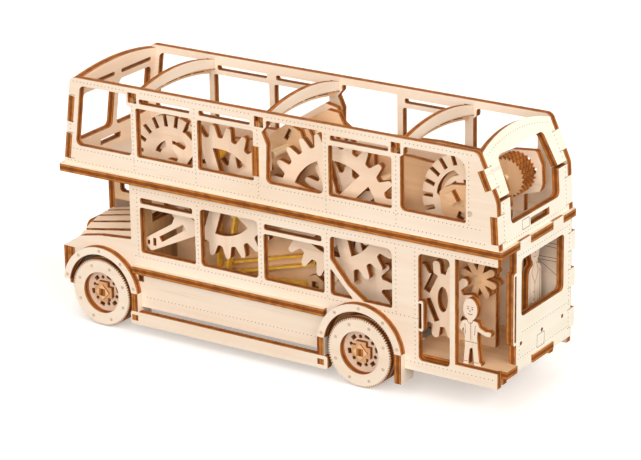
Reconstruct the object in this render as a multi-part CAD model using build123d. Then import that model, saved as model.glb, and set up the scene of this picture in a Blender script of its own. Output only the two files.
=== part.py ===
import os
from math import asin, atan2, cos, degrees, hypot, pi, radians, sin, sqrt, tan

from build123d import *

# Laser-cut plywood model of an old half-cab double decker bus with an open rear platform.
# +X is forward, +Y the side of the open platform, +Z up, and the wheels stand on Z = 0.
# A station is a distance behind the front end of the side panels.

# Sheet and dowels
ply = 4.0
rib_ply = 2.75
dowel_r = 2.0
shaft_gap = 0.08
touch_gap = 0.3

# Overall layout
body_width = 75.4
body_end = 268.6
nose_reach = 2.2
tail_tab = 2.6
body_bottom = 14.6
deck_underside = 83.6
saloon_height = 49.0
belt_reach = 2.5

# Upper windows: sill above the deck, heads and slots below the roof rail
upper_sill_rise = 11.4
roof_rail_depth = 4.0
upper_transom_drop = 10.6
upper_slot_drop = 8.0
upper_slot_height = 2.7

# Lower windows: sill above the floor, heads and slots below the deck
lower_sill_rise = 22.8
lower_head_drop = 6.2
lower_transom_drop = 12.4
lower_slot_drop = 10.2
lower_slot_height = 3.2
door_head_drop = 5.4
platform_head_drop = 4.4
pane_r = 3.0

# Front and tail lines of the upper panels
nose_foot = 1.0
nose_head = 7.4
tail_knee_inset = 1.4
tail_knee_rise = 25.1
tail_head_inset = 12.2

# Stations that are measured forward from the end of the body
last_window_inset = 18.6
door_front_inset = 46.0
door_rear_inset = 27.8
post_inset = 24.8
platform_inset = 55.6
plate_inset = 18.6
deck_hole_inset = 30.6
figure_inset = 18.6
tall_figure_inset = 16.6
drum_inset = 22.2
rear_disc_inset = 33.9
star_inset = 24.1
display_inset = 40.6

# Roof arches
rear_arch_inset = 58.8
arch_tenon = 5.6
arch_rise = 5.0
arch_depth = 6.0
arch_step = 3.2

# Bonnet, cab and nose
bonnet_front_z = 40.2
bonnet_rear_z = 51.8
saloon_front = 43.8
cab_wall_y = 1.7
cab_foot_z = 47.0
nose_plate_bottom = 17.0
nose_leaf = 3.7
radiator_depth = 2.6
lamp_depth = 2.2
lamp_r = 5.0

# Platform and floors
floor_underside = 18.9
floor_front = 51.0
floor_rear_lead = 24.6
tail_wall_y = 22.7
tail_zone = 10.0
tail_window_rise = 24.2
tail_window_drop = 6.0
tail_hole_r = 1.1
deck_notches = ((8.5, 19.8), (-25.0, -13.8))

# Wheels
wheel_r = 19.0
wheel_hole_r = 11.6
hub_hole_count = 6
front_axle_station = 25.2
rear_overhang = 79.0
axle_side = 4.0
lock_arm = 3.0
lock_reach = 6.4
lock_depth = 2.4

# Fenders and step rails
fender_lift = 0.8
front_fender_station = 24.6
front_fender_r = 20.8
rear_fender_lead = 0.2
rear_fender_r = 21.4
fender_width = 4.0
fender_end_z = 22.8
rail_low = 5.6
rail_high = 12.7
rail_front = 44.6
rail_rear_lead = 19.4
rail_tenon_low = 7.6
rail_tenon_high = 10.8
flap_low = 6.9
waist_low = 34.0
waist_reach = 3.0
waist_front = 46.0
waist_rear_lead = 22.0

# Gears
module = 3.1
addendum = 0.85
dedendum = 1.2
tooth_root_half = 2.8
tooth_tip_half = 1.6
gear_layer_near = 20.0
gear_layer_far = 13.0
drive_station = 164.2
drive_height = 86.7
pinion_layer = 8.5
axle_teeth = 9
idler_teeth = 12
pinion_teeth = 14
drive_teeth = 24
second_teeth = 22
second_pinion_teeth = 10
disc_teeth = 14

# Slotted discs
slot_disc_r = 25.1
slot_disc_count = 20
rim_slot_depth = 6.2
rim_slot_width = 2.4
rear_disc_rise = 12.2

# Mechanism plates
deck_hole_front = 31.0
near_plate_y = 4.0
far_plate_y = -24.0
plate_front = 52.0
plate_top = 116.0
gear_sweep_gap = 0.8
tie_rod_r = 1.7
peg_r = 2.0
band_thickness = 1.3

# Chassis, bonnet slats, display gear and lever arm
rail_y = 26.0
slat_count = 5
slat_width = 5.2
slat_thickness = 2.4
display_gear_y = 22.0
display_gear_r = 20.8
lever_y = 26.0

# Ratchet drum, star wheels and lever tab
drum_height = 108.6
drum_front = -7.6
drum_r = 10.4
drum_teeth = 26
star_drop = 22.0
star_teeth = 8
display_gear_height = 50.4
lever_tab_front = 123.8
lever_tab_rear = 128.2
lever_tab_rise = 3.0
lever_tab_height = 15.8

# Figures on the platform
figure_height = 36.7
tall_figure_height = 52.5
tall_figure_y = -21.6

# Derived places
half_width = body_width / 2
panel_inner = half_width - ply
side_face = half_width + ply
deck_top = deck_underside + ply
roof_rail_top = deck_top + saloon_height
floor_top = floor_underside + ply
upper_sill = deck_top + upper_sill_rise
upper_head = roof_rail_top - roof_rail_depth
upper_transom_bottom = roof_rail_top - upper_transom_drop
upper_slot_low = roof_rail_top - upper_slot_drop
upper_slot_high = upper_slot_low + upper_slot_height
lower_sill = floor_top + lower_sill_rise
lower_head = deck_underside - lower_head_drop
lower_transom_bottom = deck_underside - lower_transom_drop
lower_slot_low = deck_underside - lower_slot_drop
lower_slot_high = lower_slot_low + lower_slot_height
tail_reach = body_end + tail_tab
tail_knee = body_end - tail_knee_inset
tail_knee_z = deck_top + tail_knee_rise
tail_head = body_end - tail_head_inset
last_window_end = body_end - last_window_inset
door_front = body_end - door_front_inset
door_rear = body_end - door_rear_inset
post_station = body_end - post_inset
platform_front = body_end - platform_inset
plate_rear = body_end - plate_inset
deck_hole_rear = body_end - deck_hole_inset
drum_place = (body_end - drum_inset, drum_height)
rear_disc_station = body_end - rear_disc_inset
rear_disc_height = deck_top + rear_disc_rise
star_height = deck_underside - star_drop
rear_axle_station = body_end - rear_overhang
rear_fender_station = rear_axle_station - rear_fender_lead
floor_rear = rear_axle_station - floor_rear_lead
rail_rear = rear_axle_station - rail_rear_lead
waist_rear = rear_axle_station - waist_rear_lead
arch_stations = (48.0, 128.1, body_end - rear_arch_inset)
tail_zone_lows = (
    floor_top + 1.1, (floor_top + deck_underside) / 2 - 7.25, deck_underside - tail_zone - 7.6,
)
tail_wall_zones = [(low, low + tail_zone) for low in tail_zone_lows]
axle_height = wheel_r
half_length = (nose_reach + radiator_depth + tail_reach) / 2
nose_x = half_length - nose_reach - radiator_depth
front_axle_x = nose_x - front_axle_station
rear_axle_x = nose_x - rear_axle_station


def x_at(station):
    """X of a station"""
    return nose_x - station


def rounded(corners):
    """Face inside straight runs whose corners (a, b, radius) are rounded by arcs"""
    bends = []
    count = len(corners)
    for index in range(count):
        before = Vector(*corners[index - 1][:2])
        here = Vector(*corners[index][:2])
        after = Vector(*corners[(index + 1) % count][:2])
        radius = corners[index][2]
        back = (before - here).normalized()
        ahead = (after - here).normalized()
        if radius == 0:
            bends.append((here, None, here))
            continue
        half = radians(back.get_angle(ahead)) / 2
        reach = radius / tan(half)
        inward = (back + ahead).normalized()
        middle = here + inward * (radius / sin(half) - radius)
        bends.append((here + back * reach, middle, here + ahead * reach))
    edges = []
    for index in range(count):
        start, middle, end = bends[index]
        if middle is not None:
            edges.append(ThreePointArc(start, middle, end))
        following = bends[(index + 1) % count][0]
        if (following - end).length > 1e-6:
            edges.append(Line(end, following))
    return make_face(edges)


def pane(front, rear, low, high, radius=0.0):
    """Rounded opening between two stations and two heights, in a side view"""
    a, b = x_at(rear), x_at(front)
    return rounded([(a, low, radius), (b, low, radius), (b, high, radius), (a, high, radius)])


def box_face(a0, a1, b0, b1, radius=0.0):
    """Rectangle with rounded corners between two limits each way"""
    return rounded([(a0, b0, radius), (a1, b0, radius), (a1, b1, radius), (a0, b1, radius)])


def lengthwise(face, y_low, y_high):
    """Plate that stands along the bus, drawn in X and Z"""
    plane = Plane(origin=(0, y_high, 0), x_dir=(1, 0, 0), z_dir=(0, -1, 0))
    return extrude(plane * face, amount=y_high - y_low, dir=(0, -1, 0))


def crosswise(face, x_low, thickness):
    """Plate that stands across the bus, drawn in Y and Z"""
    plane = Plane(origin=(x_low, 0, 0), x_dir=(0, 1, 0), z_dir=(1, 0, 0))
    return extrude(plane * face, amount=thickness, dir=(1, 0, 0))


def level(face, z_low, thickness):
    """Plate that lies flat, drawn in X and Y"""
    return extrude(Plane(origin=(0, 0, z_low)) * face, amount=thickness, dir=(0, 0, 1))


def block(x0, x1, y0, y1, z0, z1):
    """Plain box between two limits each way"""
    return level(box_face(x0, x1, y0, y1), z0, z1 - z0)


def dowel(x, z, y_low, y_high, radius=dowel_r):
    """Round rod along Y"""
    return lengthwise(Pos(x, z) * Circle(radius), y_low, y_high)


def mirrored(solid):
    """The same piece on the other side of the bus"""
    return mirror(solid, about=Plane.XZ)


def both(solid):
    """A piece and its mirror image, as two solids"""
    return Compound(children=[solid, mirrored(solid)])


def group(solids):
    """Several separate solids of one node"""
    flat = []
    for item in solids:
        flat.extend(item.solids())
    return Compound(children=flat)


def save(name, shape):
    """Write one node"""
    os.makedirs("parts", exist_ok=True)
    export_step(shape, f"parts/{name}.step")


under_deck_top = block(
    -half_length - 1, half_length + 1, -half_width - 1, half_width + 1, deck_underside, deck_top
)


# Leaning end walls: outer line, thickness inward, and tenon zones in the side panels
class EndWall:
    """Cross wall whose outer face follows a line in the side view"""

    def __init__(self, foot, head, inward, zones):
        self.foot = Vector(x_at(foot[0]), foot[1])
        self.head = Vector(x_at(head[0]), head[1])
        self.run = (self.head - self.foot).normalized()
        self.length = (self.head - self.foot).length
        self.inward = Vector(self.run.Y, -self.run.X) * inward
        self.zones = zones

    def strip(self, low, high, depth=ply):
        """Side-view rectangle of the wall between two distances from its foot"""
        a = self.foot + self.run * low
        b = self.foot + self.run * high
        shift = self.inward * depth
        points = [a, b, b + shift, a + shift]
        return make_face(Polyline(*[(p.X, p.Y) for p in points], close=True))

    def plate(self, face):
        """Wall drawn in Y and distance from its foot"""
        x_dir = Vector(0, 1, 0)
        up = Vector(self.run.X, 0, self.run.Y)
        normal = x_dir.cross(up)
        inward = Vector(self.inward.X, 0, self.inward.Y)
        plane = Plane(origin=(self.foot.X, 0, self.foot.Y), x_dir=x_dir, z_dir=normal)
        return extrude(plane * face, amount=ply, dir=inward)


front_wall = EndWall(
    (nose_foot, deck_top), (nose_head, roof_rail_top), -1, ((3.6, 18.0), (24.4, 39.2))
)
tail_low_wall = EndWall(
    (body_end, deck_top), (tail_knee, tail_knee_z), 1, ((3.2, 17.6),)
)
tail_high_wall = EndWall(
    (tail_knee, tail_knee_z), (tail_head, roof_rail_top), 1, ((6.6, 17.2),)
)

# Upper windows with a transom: front and rear station
upper_windows = (
    (50.0, 86.0),
    (89.4, 124.4),
    (body_end - 98.6, body_end - 61.2),
)
boss = arch_tenon / 2 + 1.3
boss_low = roof_rail_top - 9.6


def arch_hole(station):
    """Square hole of an arch's tenon"""
    top = roof_rail_top - 2.6
    return pane(station - arch_tenon / 2, station + arch_tenon / 2, top - arch_tenon, top)


def upper_side():
    """Upper side panel, platform side"""
    outline = [
        (x_at(nose_foot), deck_top, 0),
        (x_at(nose_head), roof_rail_top, 3.0),
        (x_at(tail_head), roof_rail_top, 4.0),
        (x_at(tail_knee), tail_knee_z, 12.0),
        (x_at(body_end), deck_top, 0),
    ]
    face = rounded(outline)
    lean = (nose_head - nose_foot) / (roof_rail_top - deck_top)
    first = [
        (x_at(9.4), upper_sill, pane_r),
        (x_at(9.4 + lean * (upper_head - upper_sill)), upper_head, pane_r),
        (x_at(arch_stations[0] - boss), upper_head, 1.0),
        (x_at(arch_stations[0] - boss), boss_low, 0.6),
        (x_at(46.7), boss_low - 1.4, 0.6),
        (x_at(46.7), upper_sill, pane_r),
    ]
    face -= rounded(first)
    for front, rear in upper_windows:
        face -= pane(front, rear, upper_sill, upper_transom_bottom, 1.2)
        slot_front = front + 1.2
        slot_rear = rear - 1.2
        if any(abs(station - front) < 6 for station in arch_stations):
            slot_front = front + 2.4
        if any(abs(station - rear) < 6 for station in arch_stations):
            slot_rear = rear - 1.8
        face -= pane(slot_front, slot_rear, upper_slot_low, upper_slot_high, 1.0)
    middle = arch_stations[1]
    fourth = [
        (x_at(131.8), upper_sill, pane_r),
        (x_at(132.6), upper_sill + 20.6, 1.0),
        (x_at(middle + 1.6), boss_low - 1.0, 0.4),
        (x_at(middle + boss + 0.4), boss_low + 2.4, 1.0),
        (x_at(middle + boss + 0.4), upper_head, 1.0),
        (x_at(body_end - 102.0), upper_head, 1.2),
        (x_at(body_end - 102.0), upper_sill, pane_r),
    ]
    face -= rounded(fourth)
    last = arch_stations[2]
    sixth = [
        (x_at(last + 2.5), upper_sill, pane_r),
        (x_at(last + 2.5), boss_low, 0.6),
        (x_at(last + boss + 0.4), boss_low + 1.4, 0.6),
        (x_at(last + boss + 0.4), upper_head, 1.6),
        (x_at(last_window_end), upper_head, 7.0),
        (x_at(last_window_end), upper_sill, 1.2),
    ]
    face -= rounded(sixth)
    for station in arch_stations:
        face -= arch_hole(station)
    tab_low = upper_sill + lever_tab_rise
    face -= pane(lever_tab_front, lever_tab_rear, tab_low, tab_low + lever_tab_height)
    for wall in (front_wall, tail_low_wall, tail_high_wall):
        for low, high in wall.zones:
            face -= wall.strip(low, high)
    return lengthwise(face, panel_inner, half_width)


def arch_curve(rise, base, drop):
    """Top line of an arch at a height, as an arc over the body's width"""
    return ThreePointArc(
        (-half_width + drop, base), (0, base + rise), (half_width - drop, base)
    )


def band(outer, inner):
    """Face between two arcs whose ends are joined by straight runs"""
    return make_face(
        [outer, Line(outer @ 1, inner @ 1), inner, Line(inner @ 0, outer @ 0)]
    )


def roof_arch(station, lower):
    """One leaf of a roof arch with its tenons through both side panels"""
    top = roof_rail_top - 2.6
    half_tenon = arch_tenon / 2
    shift = arch_step if lower else 0.0
    outer = arch_curve(arch_rise, top - shift, ply)
    inner = arch_curve(arch_rise - 1.0, top - shift - arch_depth + 1.0, ply)
    face = band(outer, inner)
    leaf = crosswise(face, x_at(station) + (0 if lower else -rib_ply), rib_ply)
    low = top - arch_tenon / 2 if not lower else top - arch_tenon
    high = low + arch_tenon / 2
    start = x_at(station) + (0 if lower else -half_tenon)
    for side in (-1, 1):
        y0, y1 = sorted((side * (panel_inner - 1.0), side * half_width))
        leaf += block(start, start + half_tenon, y0, y1, low, high)
    return leaf


def nose_wall():
    """Front wall of the upper saloon"""
    top = front_wall.length
    outer = arch_curve(3.6, top - 1.2, ply)
    legs = [
        Line(outer @ 0, (-panel_inner, 0)),
        Line((-panel_inner, 0), (panel_inner, 0)),
        Line((panel_inner, 0), outer @ 1),
    ]
    face = make_face([outer] + legs)
    sill = upper_sill - deck_top
    for a, b in ((-29.4, -12.0), (-8.6, 8.6), (12.0, 29.4)):
        face -= box_face(a, b, sill, top - 11.4, 2.0)
        face -= box_face(a + 1.4, b - 1.4, top - 8.8, top - 5.2, 1.0)
    face -= box_face(-19.0, 19.0, 3.6, 6.2, 0.6)
    for side in (-1, 1):
        for low, high in front_wall.zones:
            y0, y1 = sorted((side * panel_inner, side * half_width))
            face += box_face(y0, y1, low, high)
    return front_wall.plate(face) - under_deck_top


def tail_high():
    """Upper part of the rear wall, with the arch and two legs"""
    top = tail_high_wall.length
    outer = arch_curve(6.0, top - 1.4, ply)
    base = 1.2
    legs = [
        Line(outer @ 0, (-panel_inner, base)),
        Line((-panel_inner, base), (panel_inner, base)),
        Line((panel_inner, base), outer @ 1),
    ]
    face = make_face([outer] + legs)
    face -= rounded(
        [(-24.6, base - 1, 0), (24.6, base - 1, 0), (22.6, top - 6.0, 3.0), (-22.6, top - 6.0, 3.0)]
    )
    for side in (-1, 1):
        for low, high in tail_high_wall.zones:
            y0, y1 = sorted((side * panel_inner, side * half_width))
            face += box_face(y0, y1, low, high)
    return tail_high_wall.plate(face)


def tail_low():
    """Lower part of the upper rear wall"""
    top = tail_low_wall.length - 0.8
    face = box_face(-panel_inner, panel_inner, 0, top)
    sill = upper_sill - 3.0 - deck_top
    face -= rounded(
        [(-24.6, sill, 3.0), (24.6, sill, 3.0), (24.6, top + 1, 0), (-24.6, top + 1, 0)]
    )
    face -= box_face(-13.6, 5.6, 4.5, 9.0, 0.4)
    for side in (-1, 1):
        for low, high in tail_low_wall.zones:
            y0, y1 = sorted((side * panel_inner, side * half_width))
            face += box_face(y0, y1, low, high)
    return tail_low_wall.plate(face) - under_deck_top


def upper_deck():
    """Upper deck whose rim stands proud of the side panels as the belt"""
    edge = half_width + belt_reach
    face = rounded(
        [
            (x_at(tail_reach - 0.6), -edge + 2.0, 1.0),
            (x_at(-1.5), -edge, 2.0),
            (x_at(-1.5), edge, 2.0),
            (x_at(tail_reach - 0.6), edge - 2.0, 1.0),
        ]
    )
    face -= box_face(x_at(deck_hole_rear), x_at(deck_hole_front), far_plate_y - 4.0, 28.0, 3.0)
    for y in (near_plate_y, far_plate_y):
        face -= box_face(x_at(plate_rear), x_at(deck_hole_rear - 1), y, y + ply)
    for low, high in deck_notches:
        face -= box_face(x_at(tail_reach + 1), x_at(body_end + 1.6 - ply), low, high)
    disc_end = x_at(rear_disc_station + slot_disc_r)
    face -= box_face(disc_end, x_at(deck_hole_rear - 1), near_plate_y + ply, near_plate_y + 2 * ply + 0.4)
    return level(face, deck_underside, ply)


# Lower side panels: front and rear station and transom of the windows before the platform
lower_windows = (
    (50.3, 86.0, True),
    (89.4, 125.8, False),
    (129.4, rear_axle_station - 23.0, True),
)
fourth_window = (rear_axle_station - 19.4, rear_axle_station + 17.6)
bonnet_line = ((22.8, 50.1), (9.2, 47.5))


def lower_outline():
    """Outline of a lower side panel with both wheel arches cut out"""
    face = rounded(
        [
            (x_at(body_end - 0.4), body_bottom, 0),
            (x_at(body_end - 0.4), deck_underside, 0),
            (x_at(saloon_front), deck_underside, 0),
            (x_at(saloon_front), bonnet_rear_z, 1.0),
            (x_at(bonnet_line[0][0]), bonnet_line[0][1], 30.0),
            (x_at(bonnet_line[1][0]), bonnet_line[1][1], 12.0),
            (x_at(-nose_reach), bonnet_front_z, 0),
            (x_at(5.2), bonnet_front_z - 0.2, 0),
            (x_at(5.2), body_bottom, 0),
        ]
    )
    arches = (
        (front_axle_station, front_fender_r + 0.9),
        (rear_axle_station, rear_fender_r + 0.9),
    )
    for station, radius in arches:
        face -= Pos(x_at(station), axle_height) * Circle(radius)
    face -= box_face(x_at(front_axle_station), x_at(-nose_reach - 1), body_bottom - 1, 24.0)
    face -= pane(10.0, front_axle_station + 20.0, body_bottom - 1, axle_height)
    face -= pane(
        rear_axle_station - rear_fender_r,
        rear_axle_station + rear_fender_r,
        body_bottom - 1,
        axle_height,
    )
    return face


def cut_lower_windows(face, windows):
    """Cut a row of lower windows"""
    for front, rear, transom in windows:
        if transom:
            face -= pane(front, rear, lower_sill, lower_transom_bottom, 1.4)
            face -= pane(front + 0.4, rear - 1.4, lower_slot_low, lower_slot_high, 1.2)
        else:
            face -= pane(front, rear, lower_sill, lower_head, 2.4)
    return face


def lower_side_near():
    """Lower side panel with the door, the pole and the open platform"""
    face = cut_lower_windows(lower_outline(), lower_windows)
    face -= rounded(
        [
            (x_at(fourth_window[0]), lower_sill, 2.0),
            (x_at(fourth_window[0]), lower_sill + 14.6, 0.5),
            (x_at(fourth_window[0] + 12.8), lower_sill + 1.2, 0.5),
            (x_at(fourth_window[0] + 13.8), lower_sill, 0.5),
        ]
    )
    face -= rounded(
        [
            (x_at(fourth_window[0]), lower_head, 2.0),
            (x_at(fourth_window[0]), lower_sill + 19.4, 1.0),
            (x_at(fourth_window[0] + 10.4), lower_sill + 7.0, 3.0),
            (x_at(fourth_window[0] + 20.2), lower_sill, 1.0),
            (x_at(fourth_window[1]), lower_sill, 1.2),
            (x_at(fourth_window[1]), lower_head, 4.0),
        ]
    )
    door_bottom = floor_top - 0.2
    face -= pane(
        door_front, door_rear, door_bottom - 2.0, deck_underside - door_head_drop, 2.4
    )
    face -= pane(post_station, body_end + 1, floor_top, deck_underside - platform_head_drop)
    face -= pane(47.6, 51.2, 28.9, 32.5)
    panel = lengthwise(face, panel_inner, half_width)
    grip = box_face(x_at(door_front + 2.8), x_at(door_front), 36.6, 53.0, 1.2)
    grip -= box_face(x_at(door_front + 1.8), x_at(door_front) + 1, 38.0, 51.6, 0.6)
    return panel + lengthwise(grip, panel_inner, half_width)


def lower_side_far():
    """Lower side panel of the cab side, closed to the rear"""
    face = cut_lower_windows(lower_outline(), lower_windows)
    face += rounded(
        [
            (x_at(saloon_front), deck_underside, 0),
            (x_at(2.0), deck_underside, 0),
            (x_at(2.0), bonnet_front_z, 0),
            (x_at(saloon_front), bonnet_front_z, 0),
        ]
    )
    face -= pane(*fourth_window, lower_sill, lower_head, 2.4)
    face -= pane(9.0, 40.0, cab_foot_z + 7.0, lower_head, 2.4)
    for low, high in tail_wall_zones:
        face -= pane(body_end - 2.4, body_end, low, high)
    return lengthwise(face, -half_width, -panel_inner)


def wheel_arch_ring(station, radius):
    """Flat arch over a wheel"""
    centre_z = axle_height + fender_lift
    face = Circle(radius + fender_width) - Circle(radius)
    reach = radius + fender_width + 1
    face &= Pos(0, fender_end_z - centre_z + reach) * Rectangle(2 * reach, 2 * reach)
    return lengthwise(Pos(x_at(station), centre_z) * face, half_width, side_face)


def fender_upright(front, rear, low, high):
    """Plate across the bus that ends a fender, with its foot behind the side panel"""
    outer = block(x_at(rear), x_at(front), half_width, side_face, low, high)
    inner = block(x_at(rear), x_at(front), panel_inner - ply, half_width, low, body_bottom)
    return outer + inner


upright_places = (
    (front_fender_station + front_fender_r, rail_tenon_low, True),
    (rear_fender_station - rear_fender_r - fender_width, rail_tenon_low, True),
    (rear_fender_station + rear_fender_r - 0.2, flap_low, False),
)


def fender_uprights():
    """Uprights of one side; two of them carry the step rail on a tenon"""
    pieces = []
    for front, low, holds_rail in upright_places:
        rear = front + fender_width
        if not holds_rail:
            pieces.append(fender_upright(front, rear, low, fender_end_z))
            continue
        plate = block(x_at(rear), x_at(front), half_width, side_face, rail_high, fender_end_z)
        plate += block(
            x_at(rear), x_at(front), panel_inner - ply, half_width, rail_low, body_bottom
        )
        plate += block(
            x_at(rear), x_at(front), half_width, side_face, rail_tenon_low, rail_tenon_high
        )
        pieces.append(plate)
    return pieces


def step_rail():
    """Lath between the wheels with a square hole at each end"""
    face = pane(rail_front, rail_rear, rail_low, rail_high, 1.2)
    for front, _, holds_rail in upright_places:
        if holds_rail:
            face -= pane(front, front + fender_width, rail_tenon_low, rail_tenon_high)
    return lengthwise(face, half_width, side_face)


def waist_strip():
    """Lath along the waist"""
    face = pane(waist_front, waist_rear, waist_low, waist_low + ply)
    return lengthwise(face, half_width, half_width + waist_reach)


def tail_wall():
    """Rear wall of the lower saloon beside the open platform"""
    face = box_face(-panel_inner, tail_wall_y, floor_underside, deck_underside)
    face -= box_face(
        -panel_inner + 7.9, tail_wall_y - 5.0,
        floor_top + tail_window_rise, deck_underside - tail_window_drop, 2.6,
    )
    face -= box_face(-14.4, 7.0, floor_underside, floor_top)
    for y in (tail_wall_y - 4.9, -3.7, -panel_inner + 8.8):
        face -= Pos(y, floor_top + 10.1) * Circle(tail_hole_r)
    low = floor_top + 10.7
    high = deck_underside - 11.6
    loop = box_face(tail_wall_y - 1.0, tail_wall_y + 2.8, low, high, 1.4)
    loop -= box_face(tail_wall_y, tail_wall_y + 1.7, low + 1.4, high - 1.4, 0.7)
    face += loop
    for low, high in tail_wall_zones:
        face += box_face(-half_width, -panel_inner, low, high)
    for low, high in deck_notches:
        face += box_face(low, high, deck_underside - 1, deck_top)
    return crosswise(face, x_at(body_end + 1.6), ply)


def platform_floor():
    """Floor of the rear platform, whose tab passes the rear wall"""
    face = box_face(x_at(body_end - 2.4), x_at(platform_front), -panel_inner, panel_inner)
    face += box_face(x_at(tail_reach), x_at(body_end - 2.4), tail_wall_y + 0.1, panel_inner - 0.6)
    face += box_face(x_at(tail_reach), x_at(body_end - 2.4), -14.4, 7.0)
    return level(face, floor_underside, ply)


def saloon_floor():
    """Floor between the axles"""
    face = box_face(x_at(floor_rear), x_at(floor_front), -panel_inner, panel_inner)
    sweep = module * (idler_teeth / 2 + addendum) + gear_sweep_gap
    y_low = gear_layer_far - gear_sweep_gap
    y_high = gear_layer_far + ply + gear_sweep_gap
    return level(face, floor_underside, ply) - dowel(*idler_centre, y_low, y_high, sweep)


def chassis_rail():
    """Long plate under the floor that carries both axles"""
    low = axle_height - 9.0
    face = pane(6.0, body_end - 4.0, low + 2.0, floor_underside, 0)
    for station in (front_axle_station, rear_axle_station):
        face += Pos(x_at(station), axle_height) * Circle(8.0)
    for station in (front_axle_station, rear_axle_station):
        bore = axle_side / sqrt(2) + shaft_gap
        face -= Pos(x_at(station), axle_height) * Circle(bore)
    return lengthwise(face, rail_y - ply, rail_y)


def cross_members():
    """Plates across the chassis rails"""
    pieces = []
    for station in (7.0, 55.0, floor_rear - 10.0, platform_front + 7.0, body_end - 10.6):
        x0 = x_at(station + ply)
        pieces.append(
            block(x0, x0 + ply, -rail_y + ply, rail_y - ply, axle_height - 7.0, floor_underside)
        )
    return pieces


# Nose
def nose_plates():
    """Two-ply front plate whose edges show at the sides"""
    width = half_width
    face = box_face(-width, width, 24.0, bonnet_front_z - 0.2)
    face += box_face(-panel_inner, panel_inner, nose_plate_bottom, 24.0)
    face += box_face(-panel_inner, cab_wall_y, bonnet_front_z - 0.2, cab_foot_z)
    return crosswise(face, x_at(nose_leaf - nose_reach), nose_leaf)


def nose_backing():
    """Second ply behind the front plate"""
    face = box_face(-panel_inner, panel_inner, nose_plate_bottom, bonnet_front_z - 0.2)
    face += box_face(panel_inner, half_width, 28.0, bonnet_front_z - 0.2)
    return crosswise(face, x_at(2 * nose_leaf - nose_reach), nose_leaf)


def bonnet_profile(z_side, z_top):
    """Top line of a bonnet former in Y and Z, rising from the side to the cab wall"""
    start = panel_inner - 0.8
    return ThreePointArc(
        (start, z_side), (start - 11.0, z_side + (z_top - z_side) * 0.66), (cab_wall_y, z_top)
    )


def bonnet_former(station, z_side, z_top):
    """Cross plate that carries the bonnet slats"""
    curve = bonnet_profile(z_side, z_top)
    base = bonnet_front_z - 0.2
    edges = [
        curve,
        Line(curve @ 1, (cab_wall_y, base - 6.0)),
        Line((cab_wall_y, base - 6.0), (panel_inner - 0.8, base - 6.0)),
        Line((panel_inner - 0.8, base - 6.0), curve @ 0),
    ]
    return crosswise(make_face(edges), x_at(station + ply), ply)


# Bonnet formers: station, height at the side panel, height at the cab wall
former_places = ((5.2, 43.0, 50.6), (37.0, 48.0, 57.0))


def bonnet_slats():
    """Lengthwise slats that step up from the side panel to the cab wall"""
    pieces = []
    front = former_places[0]
    rear = former_places[1]
    for index in range(slat_count):
        share = (index + 0.5) / slat_count
        ends = []
        for station, z_side, z_top in (front, rear):
            curve = bonnet_profile(z_side, z_top)
            point = curve @ share
            tangent = curve % share
            ends.append((station, point, tangent))
        x0 = x_at(rear[0] + ply + 1.0)
        x1 = x_at(front[0])
        centre = (ends[0][1] + ends[1][1]) * 0.5
        slope = degrees(atan2(-ends[0][2].Y, -ends[0][2].X))
        rise = ends[1][1].Y - ends[0][1].Y
        pitch = degrees(atan2(rise, rear[0] - front[0]))
        slat = Box(x1 - x0, slat_width, slat_thickness)
        lift = slat_thickness / 2 - 0.3
        slat = Rot(slope, 0, 0) * Pos(0, 0, lift) * slat
        slat = Rot(0, pitch, 0) * slat
        pieces.append(Pos((x0 + x1) / 2, centre.X, centre.Y) * slat)
    return pieces


def cab_front():
    """Front wall of the driver's cab"""
    face = box_face(-panel_inner, cab_wall_y, cab_foot_z, deck_underside)
    face -= box_face(-panel_inner + 4.0, cab_wall_y - 5.2, cab_foot_z + 8.0, deck_underside - 6.0, 2.0)
    return crosswise(face, x_at(6.0), ply)


def cab_side():
    """Inner side wall of the driver's cab"""
    face = pane(6.0, saloon_front, 57.4, deck_underside)
    face -= pane(10.0, saloon_front - 5.0, 62.0, deck_underside - 6.0, 2.0)
    return lengthwise(face, cab_wall_y - ply, cab_wall_y)


def saloon_bulkhead():
    """Cross wall behind the cab and bonnet"""
    face = box_face(-panel_inner, panel_inner, floor_top, deck_underside)
    face -= box_face(8.0, 24.0, 58.0, deck_underside + 1)
    face -= box_face(-28.0, -6.0, 58.0, deck_underside - 5.6, 2.0)
    return crosswise(face, x_at(saloon_front + ply + 0.2), ply)


def radiator():
    """Radiator surround with upright bars"""
    face = box_face(-10.0, 14.0, 19.0, 46.0, 4.0)
    for index in range(7):
        y = -6.2 + index * 2.75
        face -= box_face(y, y + 1.5, 22.0, 42.0, 0.6)
    return crosswise(face, x_at(-nose_reach), radiator_depth)


def headlamps():
    """Two lamp discs"""
    pieces = []
    for y in (-26.0, 26.0):
        disc = crosswise(Pos(y, 32.0) * Circle(lamp_r), x_at(-nose_reach), lamp_depth)
        pieces.append(disc)
    return pieces


# Gears
def gear_face(teeth, phase):
    """Gear with finger-shaped teeth; phase is the angle of one tooth in the side view"""
    pitch_r = module * teeth / 2
    root_r = pitch_r - dedendum * module
    tip_r = pitch_r + addendum * module
    neck_r = tip_r - tooth_tip_half * 0.8
    root_angle = atan2(tooth_root_half, root_r)
    neck_angle = atan2(tooth_tip_half, neck_r)

    def polar(radius, angle):
        return (radius * cos(angle), radius * sin(angle))

    edges = []
    step = 2 * pi / teeth
    for index in range(teeth):
        centre = radians(phase) + index * step
        foot_a = polar(root_r, centre - root_angle)
        neck_a = polar(neck_r, centre - neck_angle)
        neck_b = polar(neck_r, centre + neck_angle)
        foot_b = polar(root_r, centre + root_angle)
        following = polar(root_r, centre + step - root_angle)
        edges.append(Line(foot_a, neck_a))
        edges.append(ThreePointArc(neck_a, polar(tip_r, centre), neck_b))
        edges.append(Line(neck_b, foot_b))
        edges.append(ThreePointArc(foot_b, polar(root_r - 0.5, centre + step / 2), following))
    return make_face(edges)


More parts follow.
